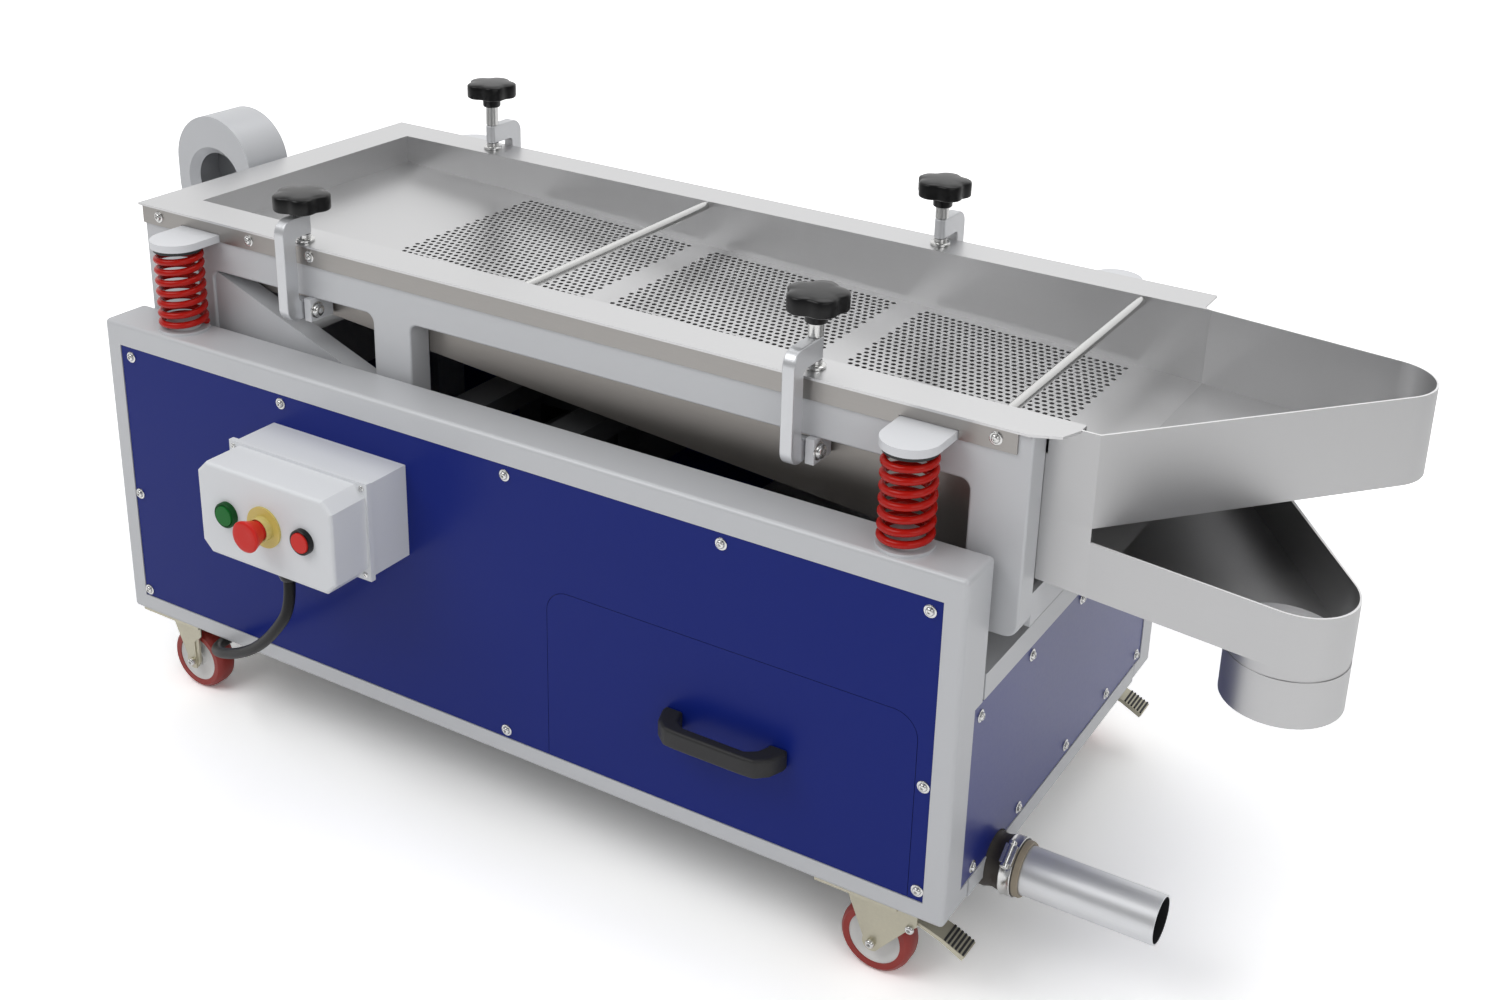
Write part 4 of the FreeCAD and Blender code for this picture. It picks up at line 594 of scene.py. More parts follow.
def rows_tree():
    """Tiles in rows, with every other row moved by half a step."""
    tree, sockets, entry, leave = new_tree(
        "hole_rows",
        ("Columns", "NodeSocketInt"),
        ("Rows", "NodeSocketInt"),
        ("Step X", "NodeSocketFloat"),
        ("Step Y", "NodeSocketFloat"),
        ("Tile", "NodeSocketObject"),
        ("Finish", "NodeSocketMaterial"),
    )
    make, link = tree.nodes.new, tree.links.new
    row = make("GeometryNodeMeshLine")
    row.mode = "OFFSET"
    link(entry.outputs["Columns"], row.inputs["Count"])
    along = make("ShaderNodeCombineXYZ")
    link(entry.outputs["Step X"], along.inputs["X"])
    link(along.outputs["Vector"], row.inputs["Offset"])
    column = make("GeometryNodeMeshLine")
    column.mode = "OFFSET"
    link(entry.outputs["Rows"], column.inputs["Count"])
    across = make("ShaderNodeCombineXYZ")
    link(entry.outputs["Step Y"], across.inputs["Y"])
    link(across.outputs["Vector"], column.inputs["Offset"])
    index = make("GeometryNodeInputIndex")
    odd = make("ShaderNodeMath")
    odd.operation = "MODULO"
    odd.inputs[1].default_value = 2
    link(index.outputs["Index"], odd.inputs[0])
    half = make("ShaderNodeMath")
    half.operation = "MULTIPLY"
    link(entry.outputs["Step X"], half.inputs[0])
    half.inputs[1].default_value = 0.5
    shift = make("ShaderNodeMath")
    shift.operation = "MULTIPLY"
    link(odd.outputs["Value"], shift.inputs[0])
    link(half.outputs["Value"], shift.inputs[1])
    offset = make("ShaderNodeCombineXYZ")
    link(shift.outputs["Value"], offset.inputs["X"])
    stagger = make("GeometryNodeSetPosition")
    link(column.outputs["Mesh"], stagger.inputs["Geometry"])
    link(offset.outputs["Vector"], stagger.inputs["Offset"])
    lines = make("GeometryNodeInstanceOnPoints")
    link(stagger.outputs["Geometry"], lines.inputs["Points"])
    link(row.outputs["Mesh"], lines.inputs["Instance"])
    spread = make("GeometryNodeRealizeInstances")
    link(lines.outputs["Instances"], spread.inputs["Geometry"])
    tile = make("GeometryNodeObjectInfo")
    link(entry.outputs["Tile"], tile.inputs["Object"])
    tiles = make("GeometryNodeInstanceOnPoints")
    link(spread.outputs["Geometry"], tiles.inputs["Points"])
    link(tile.outputs["Geometry"], tiles.inputs["Instance"])
    real = make("GeometryNodeRealizeInstances")
    link(tiles.outputs["Instances"], real.inputs["Geometry"])
    weld = make("GeometryNodeMergeByDistance")
    weld.inputs["Distance"].default_value = WELD_DISTANCE
    link(real.outputs["Geometry"], weld.inputs["Geometry"])
    coat = make("GeometryNodeSetMaterial")
    link(weld.outputs["Geometry"], coat.inputs["Geometry"])
    link(entry.outputs["Finish"], coat.inputs["Material"])
    link(coat.outputs["Geometry"], leave.inputs["Geometry"])
    return tree, sockets


# %% Fields of holes
DECK_LEVEL, DECK_SLOPE = 446.4, 0.0439


def deck_top(x):
    """The level of the sloping deck's upper face at a place along the machine."""
    return DECK_LEVEL - DECK_SLOPE * x


FIELD_COLUMNS, FIELD_ROWS = 30, 36
FIELD_STARTS = (250.0, 518.0, 788.0)
DECK_MIDDLE = 272.5
FIELD_FRONT = DECK_MIDDLE - FIELD_ROWS * HOLE_STEP_Y / 2
FIELD_REAR = FIELD_FRONT + FIELD_ROWS * HOLE_STEP_Y
tile = hole_tile()
holes, hole_inputs = rows_tree()
for number, start in enumerate(FIELD_STARTS, 1):
    mesh = run_tree("holes", bpy.data.meshes.new("start"), holes, hole_inputs, {
        "Columns": FIELD_COLUMNS,
        "Rows": FIELD_ROWS,
        "Step X": HOLE_STEP_X / 1000,
        "Step Y": HOLE_STEP_Y / 1000,
        "Tile": tile,
        "Finish": steel_sheet,
    })
    shape = bmesh.new()
    shape.from_mesh(mesh)
    for vert in shape.verts:
        x = start + HOLE_STEP_X / 2 + vert.co.x * 1000
        y = FIELD_FRONT + HOLE_STEP_Y / 2 + vert.co.y * 1000
        vert.co = spot(x, y, deck_top(x) + vert.co.z * 1000)
    shape.to_mesh(mesh)
    shape.free()
    field = keep(f"hole_field_{number}", mesh)
    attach(field, "screen_body")
bpy.data.objects.remove(tile)


# %% [markdown]
# The plain parts of the deck close in round the fields. Along a field's ends every other row stops half
# a step early, so small fillers close those steps. A single mesh holds them all.

# %% Plain deck
def plate(shape, x0, x1, y0, y1):
    """A flat bar of the sloping deck."""
    corners = []
    for height in (0.0, -SHEET):
        for x, y in ((x0, y0), (x1, y0), (x1, y1), (x0, y1)):
            corners.append(shape.verts.new(spot(x, y, deck_top(x) + height)))
    for face in ((0, 1, 2, 3), (7, 6, 5, 4), (0, 4, 5, 1), (1, 5, 6, 2), (2, 6, 7, 3), (3, 7, 4, 0)):
        shape.faces.new([corners[index] for index in face])


DECK_FRONT, DECK_REAR, DECK_START, DECK_END = 106.0, 439.0, 50.0, 1102.0
FIELD_LENGTH = FIELD_COLUMNS * HOLE_STEP_X
deck = bmesh.new()
edges = [DECK_START]
for start in FIELD_STARTS:
    edges += [start, start + FIELD_LENGTH + HOLE_STEP_X / 2]
edges.append(DECK_END)
for x0, x1 in zip(edges[::2], edges[1::2]):
    plate(deck, x0, x1, DECK_FRONT, DECK_REAR)
for start in FIELD_STARTS:
    finish_x = start + FIELD_LENGTH + HOLE_STEP_X / 2
    plate(deck, start, finish_x, DECK_FRONT, FIELD_FRONT)
    plate(deck, start, finish_x, FIELD_REAR, DECK_REAR)
    for row in range(FIELD_ROWS):
        y0 = FIELD_FRONT + row * HOLE_STEP_Y
        if row % 2:
            plate(deck, start, start + HOLE_STEP_X / 2, y0, y0 + HOLE_STEP_Y)
        else:
            plate(deck, start + FIELD_LENGTH, finish_x, y0, y0 + HOLE_STEP_Y)
mesh = bpy.data.meshes.new("plain_deck")
deck.to_mesh(mesh)
deck.free()
plain_deck = keep("plain_deck", mesh, steel_sheet)
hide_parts("screen_deck")
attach(plain_deck, "screen_body")

# %% [markdown]
# ## Screws
# The panels and the apron are held by pan-head screws on washers. One head is turned by hand. A
# Geometry Nodes tree puts a copy on every vertex of a cloud of places, so all the screws of a panel are
# one piece and a place is changed in one list.

# %% Screw heads
SCREW_SMOOTH = 50


def screw_head(radius, height, washer):
    """A pan head with a recess, on the plane z = 0 or on a washer there."""
    shape = bmesh.new()
    origin = Vector((0, 0, 0))
    profile = [(washer, 0), (washer, 0.9), (washer - 0.5, 1.3), (radius + 0.4, 1.3)] if washer else []
    lift = 1.0 if washer else 0.0
    profile += [
        (radius, lift),
        (radius, lift + height * 0.45),
        (radius * 0.86, lift + height * 0.80),
        (radius * 0.60, lift + height),
        (radius * 0.42, lift + height),
        (radius * 0.38, lift + height * 0.55),
        (0, lift + height * 0.50),
    ]
    lathe(shape, profile, origin, (0, 0, 1), 20)
    return from_bmesh("screw_head", shape, smooth=SCREW_SMOOTH)


# %% Screws on places
def scatter_tree():
    """Copies of one piece on every vertex, all turned the same way."""
    tree, sockets, entry, leave = new_tree(
        "on_places",
        ("Piece", "NodeSocketObject"),
        ("Turn", "NodeSocketRotation"),
        ("Finish", "NodeSocketMaterial"),
    )
    make, link = tree.nodes.new, tree.links.new
    piece = make("GeometryNodeObjectInfo")
    link(entry.outputs["Piece"], piece.inputs["Object"])
    copies = make("GeometryNodeInstanceOnPoints")
    link(entry.outputs["Geometry"], copies.inputs["Points"])
    link(piece.outputs["Geometry"], copies.inputs["Instance"])
    link(entry.outputs["Turn"], copies.inputs["Rotation"])
    real = make("GeometryNodeRealizeInstances")
    link(copies.outputs["Instances"], real.inputs["Geometry"])
    coat = make("GeometryNodeSetMaterial")
    link(real.outputs["Geometry"], coat.inputs["Geometry"])
    link(entry.outputs["Finish"], coat.inputs["Material"])
    link(coat.outputs["Geometry"], leave.inputs["Geometry"])
    return tree, sockets


scatter, scatter_inputs = scatter_tree()
FACING = {
    "front": (math.pi / 2, 0.0, 0.0),
    "rear": (-math.pi / 2, 0.0, 0.0),
    "end": (0.0, math.pi / 2, 0.0),
    "feed": (0.0, -math.pi / 2, 0.0),
}


def put_screws(name, places, facing, body, head):
    """One piece with a screw at every place, riding on a body."""
    cloud = bpy.data.meshes.new(name)
    cloud.from_pydata([spot(*place) for place in places], [], [])
    mesh = run_tree(name, cloud, scatter, scatter_inputs, {
        "Piece": head, "Turn": FACING[facing], "Finish": bright_zinc,
    })
    obj = keep(name, mesh, smooth=SCREW_SMOOTH)
    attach(obj, body)


# %% Panel and apron screws
panel_head = screw_head(4.1, 2.8, 6.3)
FRONT_SCREWS = [
    (37, 322), (260, 323), (555, 322), (804, 322), (1016, 321), (29, 153), (28, 29), (218, 30),
    (550, 30), (1021, 144), (1022, 32),
]
END_SCREWS = [
    (51, 200), (166, 203), (292, 203), (418, 203), (494, 203), (60, 31), (166, 31), (286, 33),
    (400, 33), (494, 33),
]
REAR_SCREWS = [(40 + 194 * step, z) for step in range(6) for z in (30, 322)]
PANEL_FRONT, PANEL_REAR, PANEL_FEED, PANEL_END = 1, 544, 1, 1049
FRONT_PLACES = [(x, PANEL_FRONT, z) for x, z in FRONT_SCREWS]
END_PLACES = [(PANEL_END, y, z) for y, z in END_SCREWS]
FEED_PLACES = [(PANEL_FEED, y, z) for y, z in END_SCREWS]
REAR_PLACES = [(x, PANEL_REAR, z) for x, z in REAR_SCREWS]
put_screws("front_panel_screws", FRONT_PLACES, "front", "base", panel_head)
put_screws("end_panel_screws", END_PLACES, "end", "base", panel_head)
put_screws("feed_panel_screws", FEED_PLACES, "feed", "base", panel_head)
put_screws("rear_panel_screws", REAR_PLACES, "rear", "base", panel_head)
APRON_SCREWS = (29, 165, 252, 1038)
APRON_FRONT, APRON_REAR, APRON_Z = 62, 483, 466
near_places = [(x, APRON_FRONT, APRON_Z) for x in APRON_SCREWS]
far_places = [(x, APRON_REAR, APRON_Z) for x in APRON_SCREWS]
put_screws("apron_screws_front", near_places, "front", "screen_body", panel_head)
put_screws("apron_screws_rear", far_places, "rear", "screen_body", panel_head)

# %% [markdown]
# ## Control box fittings
# The lid carries a green start button, a red stop button and an emergency stop with a red mushroom on a
# yellow ring. The start button sits in a dark green bezel and the stop button in a black one. All are
# turned forms with their axis out of the lid.

# %% Buttons
LID_FACE, BUTTON_Z = -105.0, 248.0
OUTWARDS = (0, -1, 0)
BEZEL = [(11.2, -0.5), (11.2, 5.4), (12.6, 5.8), (13.4, 5.0), (13.6, 1.0), (13.6, -0.5), (11.2, -0.5)]
CAP = [(0, -12), (10.8, -12), (10.8, 6.0), (10.3, 6.9), (7.5, 7.0), (0, 6.9)]
BUTTONS = {
    "start_button": (288, green_plastic, "button_green", dark_green),
    "stop_button": (390, button_red, "button_red", black_plastic),
}
for name, (x, material, slot, rim) in BUTTONS.items():
    centre = spot(x, LID_FACE, BUTTON_Z)
    bezel_piece = turned(f"{name}_bezel", BEZEL, centre, OUTWARDS, 48, rim)
    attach(bezel_piece, "base")
    cap_piece = turned(f"{name}_cap", CAP, centre, OUTWARDS, 48, material)
    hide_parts(name)
    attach(cap_piece, name)

# %% [markdown]
# The emergency stop flares from its collar to a flat red face, so that a palm finds it. The collar
# stays on the lid. The head moves in by three millimetres.

# %% Emergency stop
STOP_X = 338.0
COLLAR = [(11.3, 1), (11.3, 9.0), (12.3, 9.2), (12.8, 8.6), (13.2, 1), (11.3, 1)]
MUSHROOM = [
    (0, -12), (10.6, -12), (10.6, 12.4), (12.4, 13), (13.4, 16), (15.4, 21.5), (16.8, 24.6),
    (16.8, 25.6), (15.9, 26.6), (14.0, 27), (8, 26.8), (0, 26.6),
]
centre = spot(STOP_X, LID_FACE, BUTTON_Z)
collar_piece = turned("stop_collar", COLLAR, centre, OUTWARDS, 48, pale_yellow)
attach(collar_piece, "base")
mushroom_piece = turned("emergency_mushroom", MUSHROOM, centre, OUTWARDS, 56, button_red)
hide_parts("emergency_button")
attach(mushroom_piece, "emergency_button")

# %% [markdown]
# Each corner lug of the box has a smaller screw without a washer. The same tree places them.

# %% Box screws
lug_head = screw_head(3.2, 1.6, 0)
LUG_FACE = -58
BOX_CORNERS = [(251, 199), (424, 199), (251, 295), (424, 295)]
put_screws("lid_screws", [(x, LUG_FACE, z) for x, z in BOX_CORNERS], "front", "base", lug_head)
bpy.data.objects.remove(lug_head)
bpy.data.objects.remove(panel_head)

# %% [markdown]
# ## Knobs
# A star knob has rounded lobes and a nearly flat top. The outline is a circle whose radius swells and
# shrinks with the angle, so one turned profile with a changing radius makes the whole knob. The screw
# and its foot are turned steel and ride on the same body. Each knob has its place and the level of its
# underside.

# %% Star knobs
KNOBS = {
    "front_feed": (236, 72, 511), "front_end": (847, 84, 532),
    "rear_feed": (170, 461, 542), "rear_end": (789, 461, 532),
}
LOBES, LOBE_TURN = 5, math.radians(54.7)
LOBE_DEPTH, LOBE_START = 0.15, 12.0
ARM_TOP, FLANGE_TOP = 508.0, 478.3
KNOB_PROFILE = [
    (10.8, 2.5), (12.5, 4.2), (24, 4.2), (28.4, 2.6), (29.6, 3.4), (30, 5), (30, 17.4), (29.4, 18.6),
    (27.6, 19.6), (20, 20.4), (10, 20.8), (0, 21),
]
OVER_ARM = ARM_TOP + 1 - FLANGE_TOP
FOOT_PROFILE = [
    (0, 0), (11, 0), (11, 2.2), (10.2, 2.9), (7.2, 3.0), (7.2, 7.4), (5, 7.6), (5, OVER_ARM),
]


def lobed(angle, radius):
    """The outline of a star knob: wide lobes with narrower hollows, fading out towards the middle."""
    hollow = (0.5 - 0.5 * math.cos(LOBES * (angle - LOBE_TURN))) ** 1.8
    return 1 - LOBE_DEPTH * hollow * min(1.0, max(0.0, (radius - LOBE_START) / LOBE_START))


for name, (x, y, low) in KNOBS.items():
    neck = max(low - 10, ARM_TOP + 1) - low
    head = [(0, neck), (9.8, neck), (10.6, neck + 1)] + KNOB_PROFILE
    knob = turned(f"knob_{name}", head, spot(x, y, low), (0, 0, 1), 120, black_plastic, 38, lobed)
    rise = low + neck - FLANGE_TOP
    spacer = [(7.4, OVER_ARM), (7.4, rise)] if rise > OVER_ARM + 2 else []
    profile = FOOT_PROFILE + spacer + [(0, rise)]
    screw_piece = turned(f"screw_{name}", profile, spot(x, y, FLANGE_TOP), (0, 0, 1), 40, bright_zinc)
    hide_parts(f"clamp_knob_{name}")
    for piece, slot in ((knob, "black_plastic"), (screw_piece, "zinc")):
        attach(piece, f"clamp_knob_{name}")

# %% [markdown]
# ## Drawer handle
# The handle is a moulded bridge: two raked feet and a grip that is flat in front. Its outline is drawn
# once and given a width, then every edge is rounded with a Bevel.

# %% Plates and rounded edges
def slab(shape, near, far):
    """A plate between two matching outlines of places in metres."""
    near = [shape.verts.new(place) for place in near]
    far = [shape.verts.new(place) for place in far]
    shape.faces.new(near)
    shape.faces.new(far)
    for step in range(len(near)):
        after = (step + 1) % len(near)
        shape.faces.new((near[step], near[after], far[after], far[step]))


def soften(obj, width, segments, angle):
    """Round the edges of a piece that are sharper than an angle in degrees."""
    bevel = obj.modifiers.new("Edges", "BEVEL")
    bevel.width = width * 0.001
    bevel.segments = segments
    bevel.limit_method = "ANGLE"
    bevel.angle_limit = math.radians(angle)
    bevel.harden_normals = False


# %% Handle
HANDLE_X, HANDLE_Z, HALF_HEIGHT = 814.0, 120.0, 10.0
grip = bmesh.new()
outer = [(-68, 1), (-68, -6), (-62, -22), (-50, -32), (-36, -33), (36, -33), (50, -32), (62, -22),
         (68, -6), (68, 1)]
inner = [(48, 1), (48, -4), (44, -14), (34, -21), (-34, -21), (-44, -14), (-48, -4), (-48, 1)]
slab(grip, [spot(HANDLE_X + a, b, HANDLE_Z - HALF_HEIGHT) for a, b in outer + inner],
     [spot(HANDLE_X + a, b, HANDLE_Z + HALF_HEIGHT) for a, b in outer + inner])
handle = from_bmesh("bridge_handle", grip, handle_plastic, 50)
soften(handle, 3.0, 4, 30)
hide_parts("drawer_handle")
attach(handle, "drawer")

# %% [markdown]
# ## Wheels
# Each wheel has a red tread on a pale hub. The two are turned forms on one axle. The hub has a raised
# boss and a dished web.

# %% Wheels
WHEELS = {
    "front_feed": (68, 37), "front_end": (970, 37), "rear_feed": (68, 508), "rear_end": (970, 508),
}
AXLE_Z = -62.5
TREAD_SIDE = [(27.5, -12.2), (33.5, -12.5), (36.4, -10), (37.5, -6)]
TREAD = TREAD_SIDE + [(radius, -along) for radius, along in TREAD_SIDE[::-1]] + TREAD_SIDE[:1]
HUB = [
    (4.8, -11.5), (9, -11.5), (9.5, -9), (20, -7.5), (24.5, -10), (27.5, -11.0), (27.5, 11.0),
    (24.5, 10), (20, 7.5), (9.5, 9), (9, 11.5), (4.8, 11.5), (4.8, -11.5),
]
for name, (x, y) in WHEELS.items():
    centre = spot(x, y, AXLE_Z)
    tread_piece = turned(f"tread_{name}", TREAD, centre, (0, 1, 0), 64, wheel_tread)
    hub_piece = turned(f"hub_{name}", HUB, centre, (0, 1, 0), 56, wheel_hub)
    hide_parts(f"caster_wheel_{name}")
    for piece in (tread_piece, hub_piece):
        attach(piece, f"caster_wheel_{name}")

# %% [markdown]
# ## Caster fittings
# Each fork has pressed cheeks that widen from the axle to the swivel. Those of the casters at the
# discharge end reach further, and each of these casters has a brake whose pedal is ribbed for the foot.
# Domed nuts close the axles, and one more sits high on each long cheek. Cheeks and ribs are flat
# outlines given a thickness, as they are cut from sheet or moulded straight.

# %% Cheeks and nuts
def prism(shape, outline, start, end):
    """A plate between two places along Y, over a closed outline of (x, z) pairs."""
    slab(shape, [spot(x, start, z) for x, z in outline], [spot(x, end, z) for x, z in outline])


EYE_RADIUS, EYE_DEGREES = 10, range(185, 311, 14)


def cheek_outline(x, z, reach):
    """A round eye at the axle, and straight edges up to a wide top."""
    turns = [math.radians(degrees) for degrees in EYE_DEGREES]
    eye = [(x + EYE_RADIUS * math.cos(turn), z + EYE_RADIUS * math.sin(turn)) for turn in turns]
    return eye + [(x + reach - 12, z + 26), (x + reach, z + 37), (x + reach, z + 50), (x - 5, z + 50)]


CHEEK_INNER, CHEEK = 16.5, 1.3
LONG_REACH, SHORT_REACH = 46, 16
AXLE_END, HIGH_NUT_X, HIGH_NUT_Z = 4, 39, 32
dome = screw_head(4.6, 3.4, 0)
for name, (x, y) in WHEELS.items():
    cheeks = bmesh.new()
    outline = cheek_outline(x, AXLE_Z, LONG_REACH if name.endswith("end") else SHORT_REACH)
    for side in (-1, 1):
        prism(cheeks, outline, y + side * CHEEK_INNER, y + side * (CHEEK_INNER + CHEEK))
    cheek_piece = from_bmesh(f"cheeks_{name}", cheeks, zinc_plate, 30)
    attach(cheek_piece, f"caster_fork_{name}")
    facing = "front" if name.startswith("front") else "rear"
    side = -1 if name.startswith("front") else 1
    places = [(x, y + side * (CHEEK_INNER + AXLE_END), AXLE_Z)]
    if name.endswith("end"):
        places.append((x + HIGH_NUT_X, y + side * (CHEEK_INNER + CHEEK), AXLE_Z + HIGH_NUT_Z))
    put_screws(f"axle_nuts_{name}", places, facing, f"caster_fork_{name}", dome)
bpy.data.objects.remove(dome)

# %% Pedal ribs
PEDAL_START, PEDAL_LEVEL, PEDAL_SLOPE, PEDAL_HALF = 1040.0, -31.3, 0.45, 12
RIBS, RIB_START, RIB_STEP = 6, 1.5, 3.8
for name, (x, y) in WHEELS.items():
    if name.endswith("end"):
        ribs = bmesh.new()
        for step in range(RIBS):
            low = PEDAL_START + RIB_START + RIB_STEP * step
            level = PEDAL_LEVEL - (low - PEDAL_START) * PEDAL_SLOPE
            prism(ribs, [(low, level - 1), (low + 2, level - 2), (low + 2.4, level + 0.7),
                         (low + 0.6, level + 1.6)], y - PEDAL_HALF, y + PEDAL_HALF)
        rib_piece = from_bmesh(f"pedal_ribs_{name}", ribs, black_rubber, 30)
        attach(rib_piece, f"caster_fork_{name}")

# %% [markdown]
# ## Clamp pivots
# A domed bolt with a washer holds each clamp arm in its lug. It is the head of the screws again, in a
# larger size.

# %% Pivot bolts
PIVOT_FRONT, PIVOT_REAR, PIVOT_Z, LUG_END = 66, 479, 406, 17.5
dome = screw_head(7.2, 5.2, 9.0)
for name, (x, y, low) in KNOBS.items():
    pivot_y = PIVOT_FRONT if name.startswith("front") else PIVOT_REAR
    put_screws(f"pivot_bolt_{name}", [(x + LUG_END, pivot_y, PIVOT_Z)], "end", "screen_body", dome)
bpy.data.objects.remove(dome)

# %% [markdown]
# ## Drain
# A brown rubber boot joins the steel pipe to the base. It has a waist at the frame and ends in a tan
# ring. A worm-drive band holds it: a strap with rolled edges and a screw housing on its near side. The
# numbers of the housing are in metres.

# %% Boot and band
BASE_END = 1050
ALONG_PIPE = (1, 0, 0)
BOOT = [
    (23.6, -50), (28, -50), (28, -3), (26.4, 2), (25.8, 6), (26.6, 10), (28, 14), (28, 27), (27.2, 28),
    (23.6, 28), (23.6, -50),
]
RING = [(24.1, 28), (27.4, 28), (27.4, 32.6), (26.6, 34), (24.1, 34), (24.1, 28)]
BAND = [
    (28.0, 15), (29.6, 15), (30.0, 15.8), (29.3, 16.8), (29.3, 25.2), (30.0, 26.2), (29.6, 27),
    (28.0, 27), (28.0, 15),
]
WORM = [
    (0, -13), (3.6, -13), (4.2, -12.4), (4.2, -9.6), (3.2, -9.4), (3.2, 9.5), (4.4, 9.6), (4.4, 13),
    (3.8, 13.8), (0, 13.8),
]
HOUSING_TURN = math.radians(128)
HOUSING_ALONG, HOUSING_OUT, WORM_OUT = 0.021, 0.0322, 0.0015
HOUSING_SIZE = (0.0125, 0.0058, 0.019, 1)
pipe_start = spot(BASE_END, PIPE_Y, PIPE_Z)
boot_piece = turned("rubber_boot", BOOT, pipe_start, ALONG_PIPE, 72, brown_rubber)
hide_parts("drain_socket")
ring_piece = turned("boot_ring", RING, pipe_start, ALONG_PIPE, 72, tan_rubber)
band = bmesh.new()
lathe(band, BAND, pipe_start, ALONG_PIPE, 72)
turn = Matrix.Rotation(HOUSING_TURN, 4, "X")
out_way = turn @ Vector((0, 1, 0))
round_way = turn @ Vector((0, 0, 1))
middle = pipe_start + Vector((HOUSING_ALONG, 0, 0)) + out_way * HOUSING_OUT
block = Matrix.Translation(middle) @ turn @ Matrix.Diagonal(HOUSING_SIZE)
bmesh.ops.create_cube(band, size=1, matrix=block)
lathe(band, WORM, middle + out_way * WORM_OUT, round_way, 20)
band_piece = from_bmesh("hose_band", band, bright_zinc, 35)
soften(band_piece, 0.5, 2, 50)
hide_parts("pipe_clip")
for piece, slot in ((boot_piece, "black_rubber"), (ring_piece, "black_rubber"), (band_piece, "zinc")):
    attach(piece, "base")

# %% [markdown]
# ## Studio
# A pale floor takes the shadow. It has three tones: one for the light it throws back, one for mirrors,
# and one for the camera that grows with the distance from the machine in metres, so that the floor runs
# into the white background.

# %% Floor
FLOOR_REACH = 12
FLOOR_LIGHT, FLOOR_MIRROR = 0.80, 1.15
NEAR, FAR, NEAR_TONE, FAR_TONE = 0.8, 4.0, 1.52, 2.6
floor_shape = bmesh.new()
bmesh.ops.create_grid(floor_shape, x_segments=1, y_segments=1, size=FLOOR_REACH)
floor = from_bmesh("studio_floor", floor_shape)
floor_paint = bpy.data.materials.new("floor_paint")
floor_paint.use_nodes = True
tree = floor_paint.node_tree
tree.nodes.remove(tree.nodes["Principled BSDF"])
floor_shader = tree.nodes.new("ShaderNodeBsdfDiffuse")


def by_ray(tree, light, mirror, camera):
    """Choose between three values: for light, for mirror and glass rays, and for the camera."""
    paths = tree.nodes.new("ShaderNodeLightPath")
    either = tree.nodes.new("ShaderNodeMath")
    either.operation = "MAXIMUM"
    tree.links.new(paths.outputs["Is Glossy Ray"], either.inputs[0])
    tree.links.new(paths.outputs["Is Transmission Ray"], either.inputs[1])
    result = light
    for factor, other in ((either.outputs["Value"], mirror), (paths.outputs["Is Camera Ray"], camera)):
        choice = tree.nodes.new("ShaderNodeMix")
        tree.links.new(factor, choice.inputs["Factor"])
        for value, entry in ((result, choice.inputs["A"]), (other, choice.inputs["B"])):
            if isinstance(value, float):
                entry.default_value = value
            else:
                tree.links.new(value, entry)
        result = choice.outputs["Result"]
    return result


def ramp(tree, value, low, high, bottom, top):
    """A value that rises evenly from bottom to top while another goes from low to high."""
    node = tree.nodes.new("ShaderNodeMapRange")
    node.inputs["From Min"].default_value = low
    node.inputs["From Max"].default_value = high
    node.inputs["To Min"].default_value = bottom
    node.inputs["To Max"].default_value = top
    tree.links.new(value, node.inputs["Value"])
    return node.outputs["Result"]


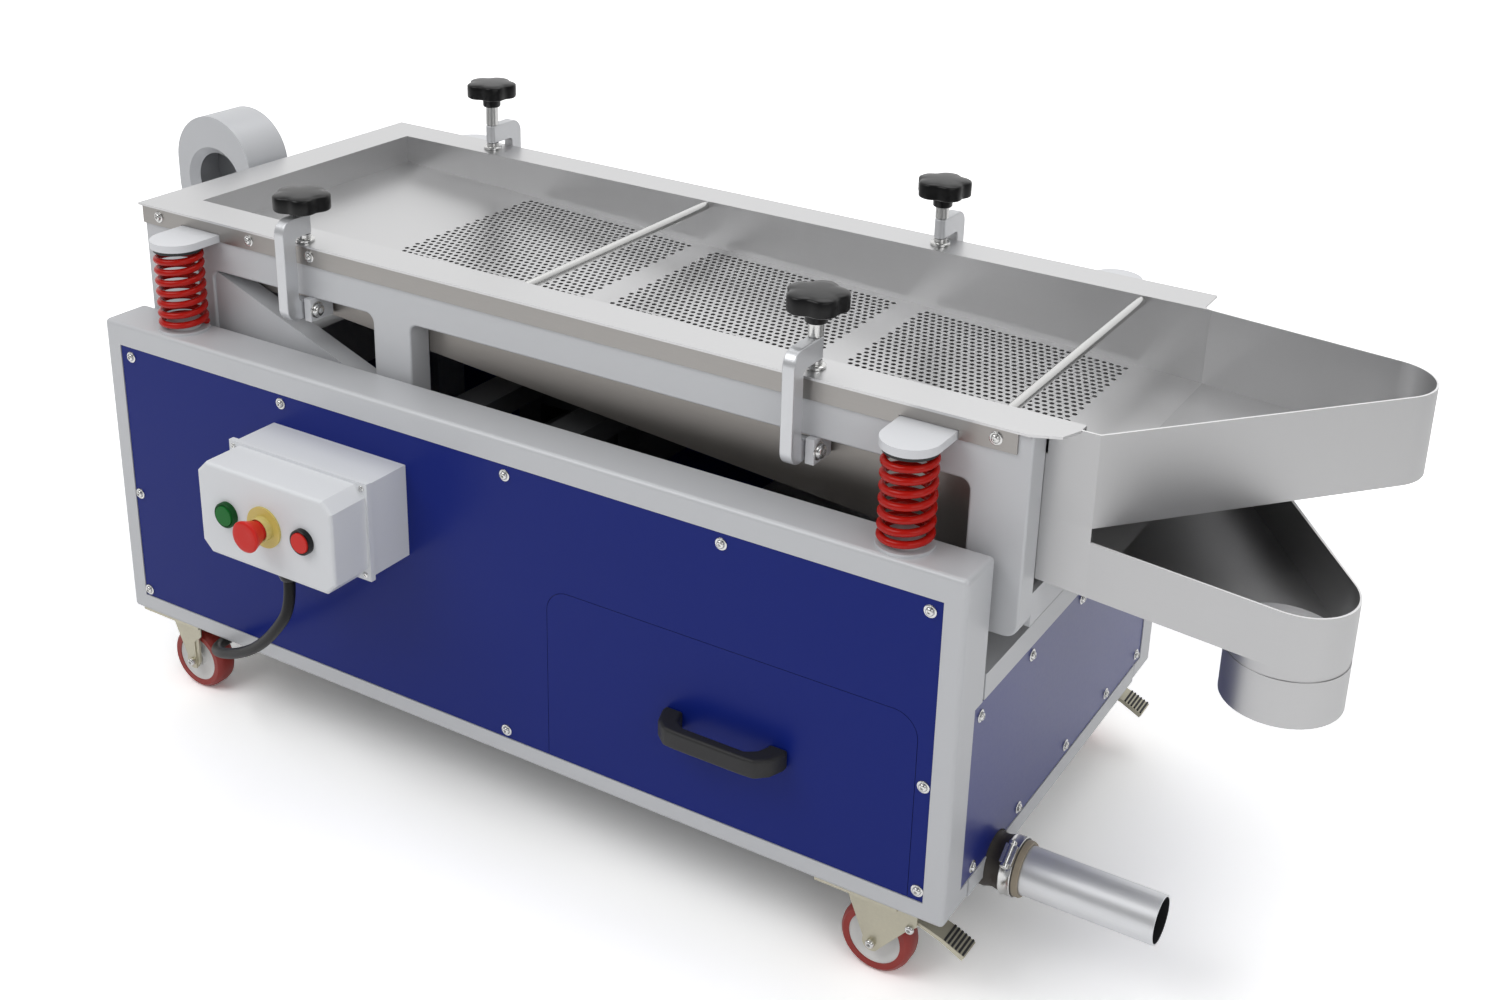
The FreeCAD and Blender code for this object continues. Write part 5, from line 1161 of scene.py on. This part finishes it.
place = tree.nodes.new("ShaderNodeTexCoord")
reach = tree.nodes.new("ShaderNodeVectorMath")
reach.operation = "LENGTH"
tree.links.new(place.outputs["Object"], reach.inputs[0])
seen_tone = ramp(tree, reach.outputs["Value"], NEAR, FAR, NEAR_TONE, FAR_TONE)
tree.links.new(by_ray(tree, FLOOR_LIGHT, FLOOR_MIRROR, seen_tone), floor_shader.inputs["Color"])
tree.links.new(floor_shader.outputs["BSDF"], tree.nodes["Material Output"].inputs["Surface"])
floor.data.materials.append(floor_paint)
print("floor", 2 * FLOOR_REACH, "m wide")

# %% [markdown]
# The world is white for the camera. For mirrors it is white behind the machine and dim behind the
# camera, as in a studio with one lit backdrop, because sheet steel only looks like steel when it has
# both to show. For all other rays it is an even grey. The three lamps are large and soft.

# %% World
WORLD_LIGHT, WORLD_SEEN = 0.50, 1.0
BEHIND_CAMERA, BEHIND_MACHINE = 0.10, 1.0
BACKDROP_WAY = (-0.45, 0.85, 0.25)
LEAN_LOW, LEAN_HIGH = -0.35, 0.95
world = bpy.data.worlds.new("Studio")
bpy.context.scene.world = world
world.use_nodes = True
tree = world.node_tree
background = tree.nodes["Background"]
way = tree.nodes.new("ShaderNodeTexCoord")
lean = tree.nodes.new("ShaderNodeVectorMath")
lean.operation = "DOT_PRODUCT"
lean.inputs[1].default_value = BACKDROP_WAY
tree.links.new(way.outputs["Generated"], lean.inputs[0])
backdrop = ramp(tree, lean.outputs["Value"], LEAN_LOW, LEAN_HIGH, BEHIND_CAMERA, BEHIND_MACHINE)
background.inputs["Color"].default_value = (1, 1, 1, 1)
tree.links.new(by_ray(tree, WORLD_LIGHT, backdrop, WORLD_SEEN), background.inputs["Strength"])
print("world", WORLD_LIGHT, "for light and", WORLD_SEEN, "for the camera")

# %% Lamps
TARGET = Vector((0, 0, 0.3))
LAMP_RATIO = 0.7


def lamp(name, place, width, power):
    """A soft rectangular lamp at a place in metres, turned to the machine."""
    data = bpy.data.lights.new(name, "AREA")
    data.shape = "RECTANGLE"
    data.size = width
    data.size_y = width * LAMP_RATIO
    data.energy = power
    obj = bpy.data.objects.new(name, data)
    obj.location = place
    obj.rotation_euler = (TARGET - Vector(place)).to_track_quat("-Z", "Y").to_euler()
    bpy.context.scene.collection.objects.link(obj)
    print("lamp", name, power, "W")


lamp("key", (-1.2, -1.8, 2.8), 2.4, 34)
lamp("fill", (2.6, -1.4, 1.9), 2.0, 16)
lamp("top", (0.2, 0.9, 3.0), 2.6, 22)
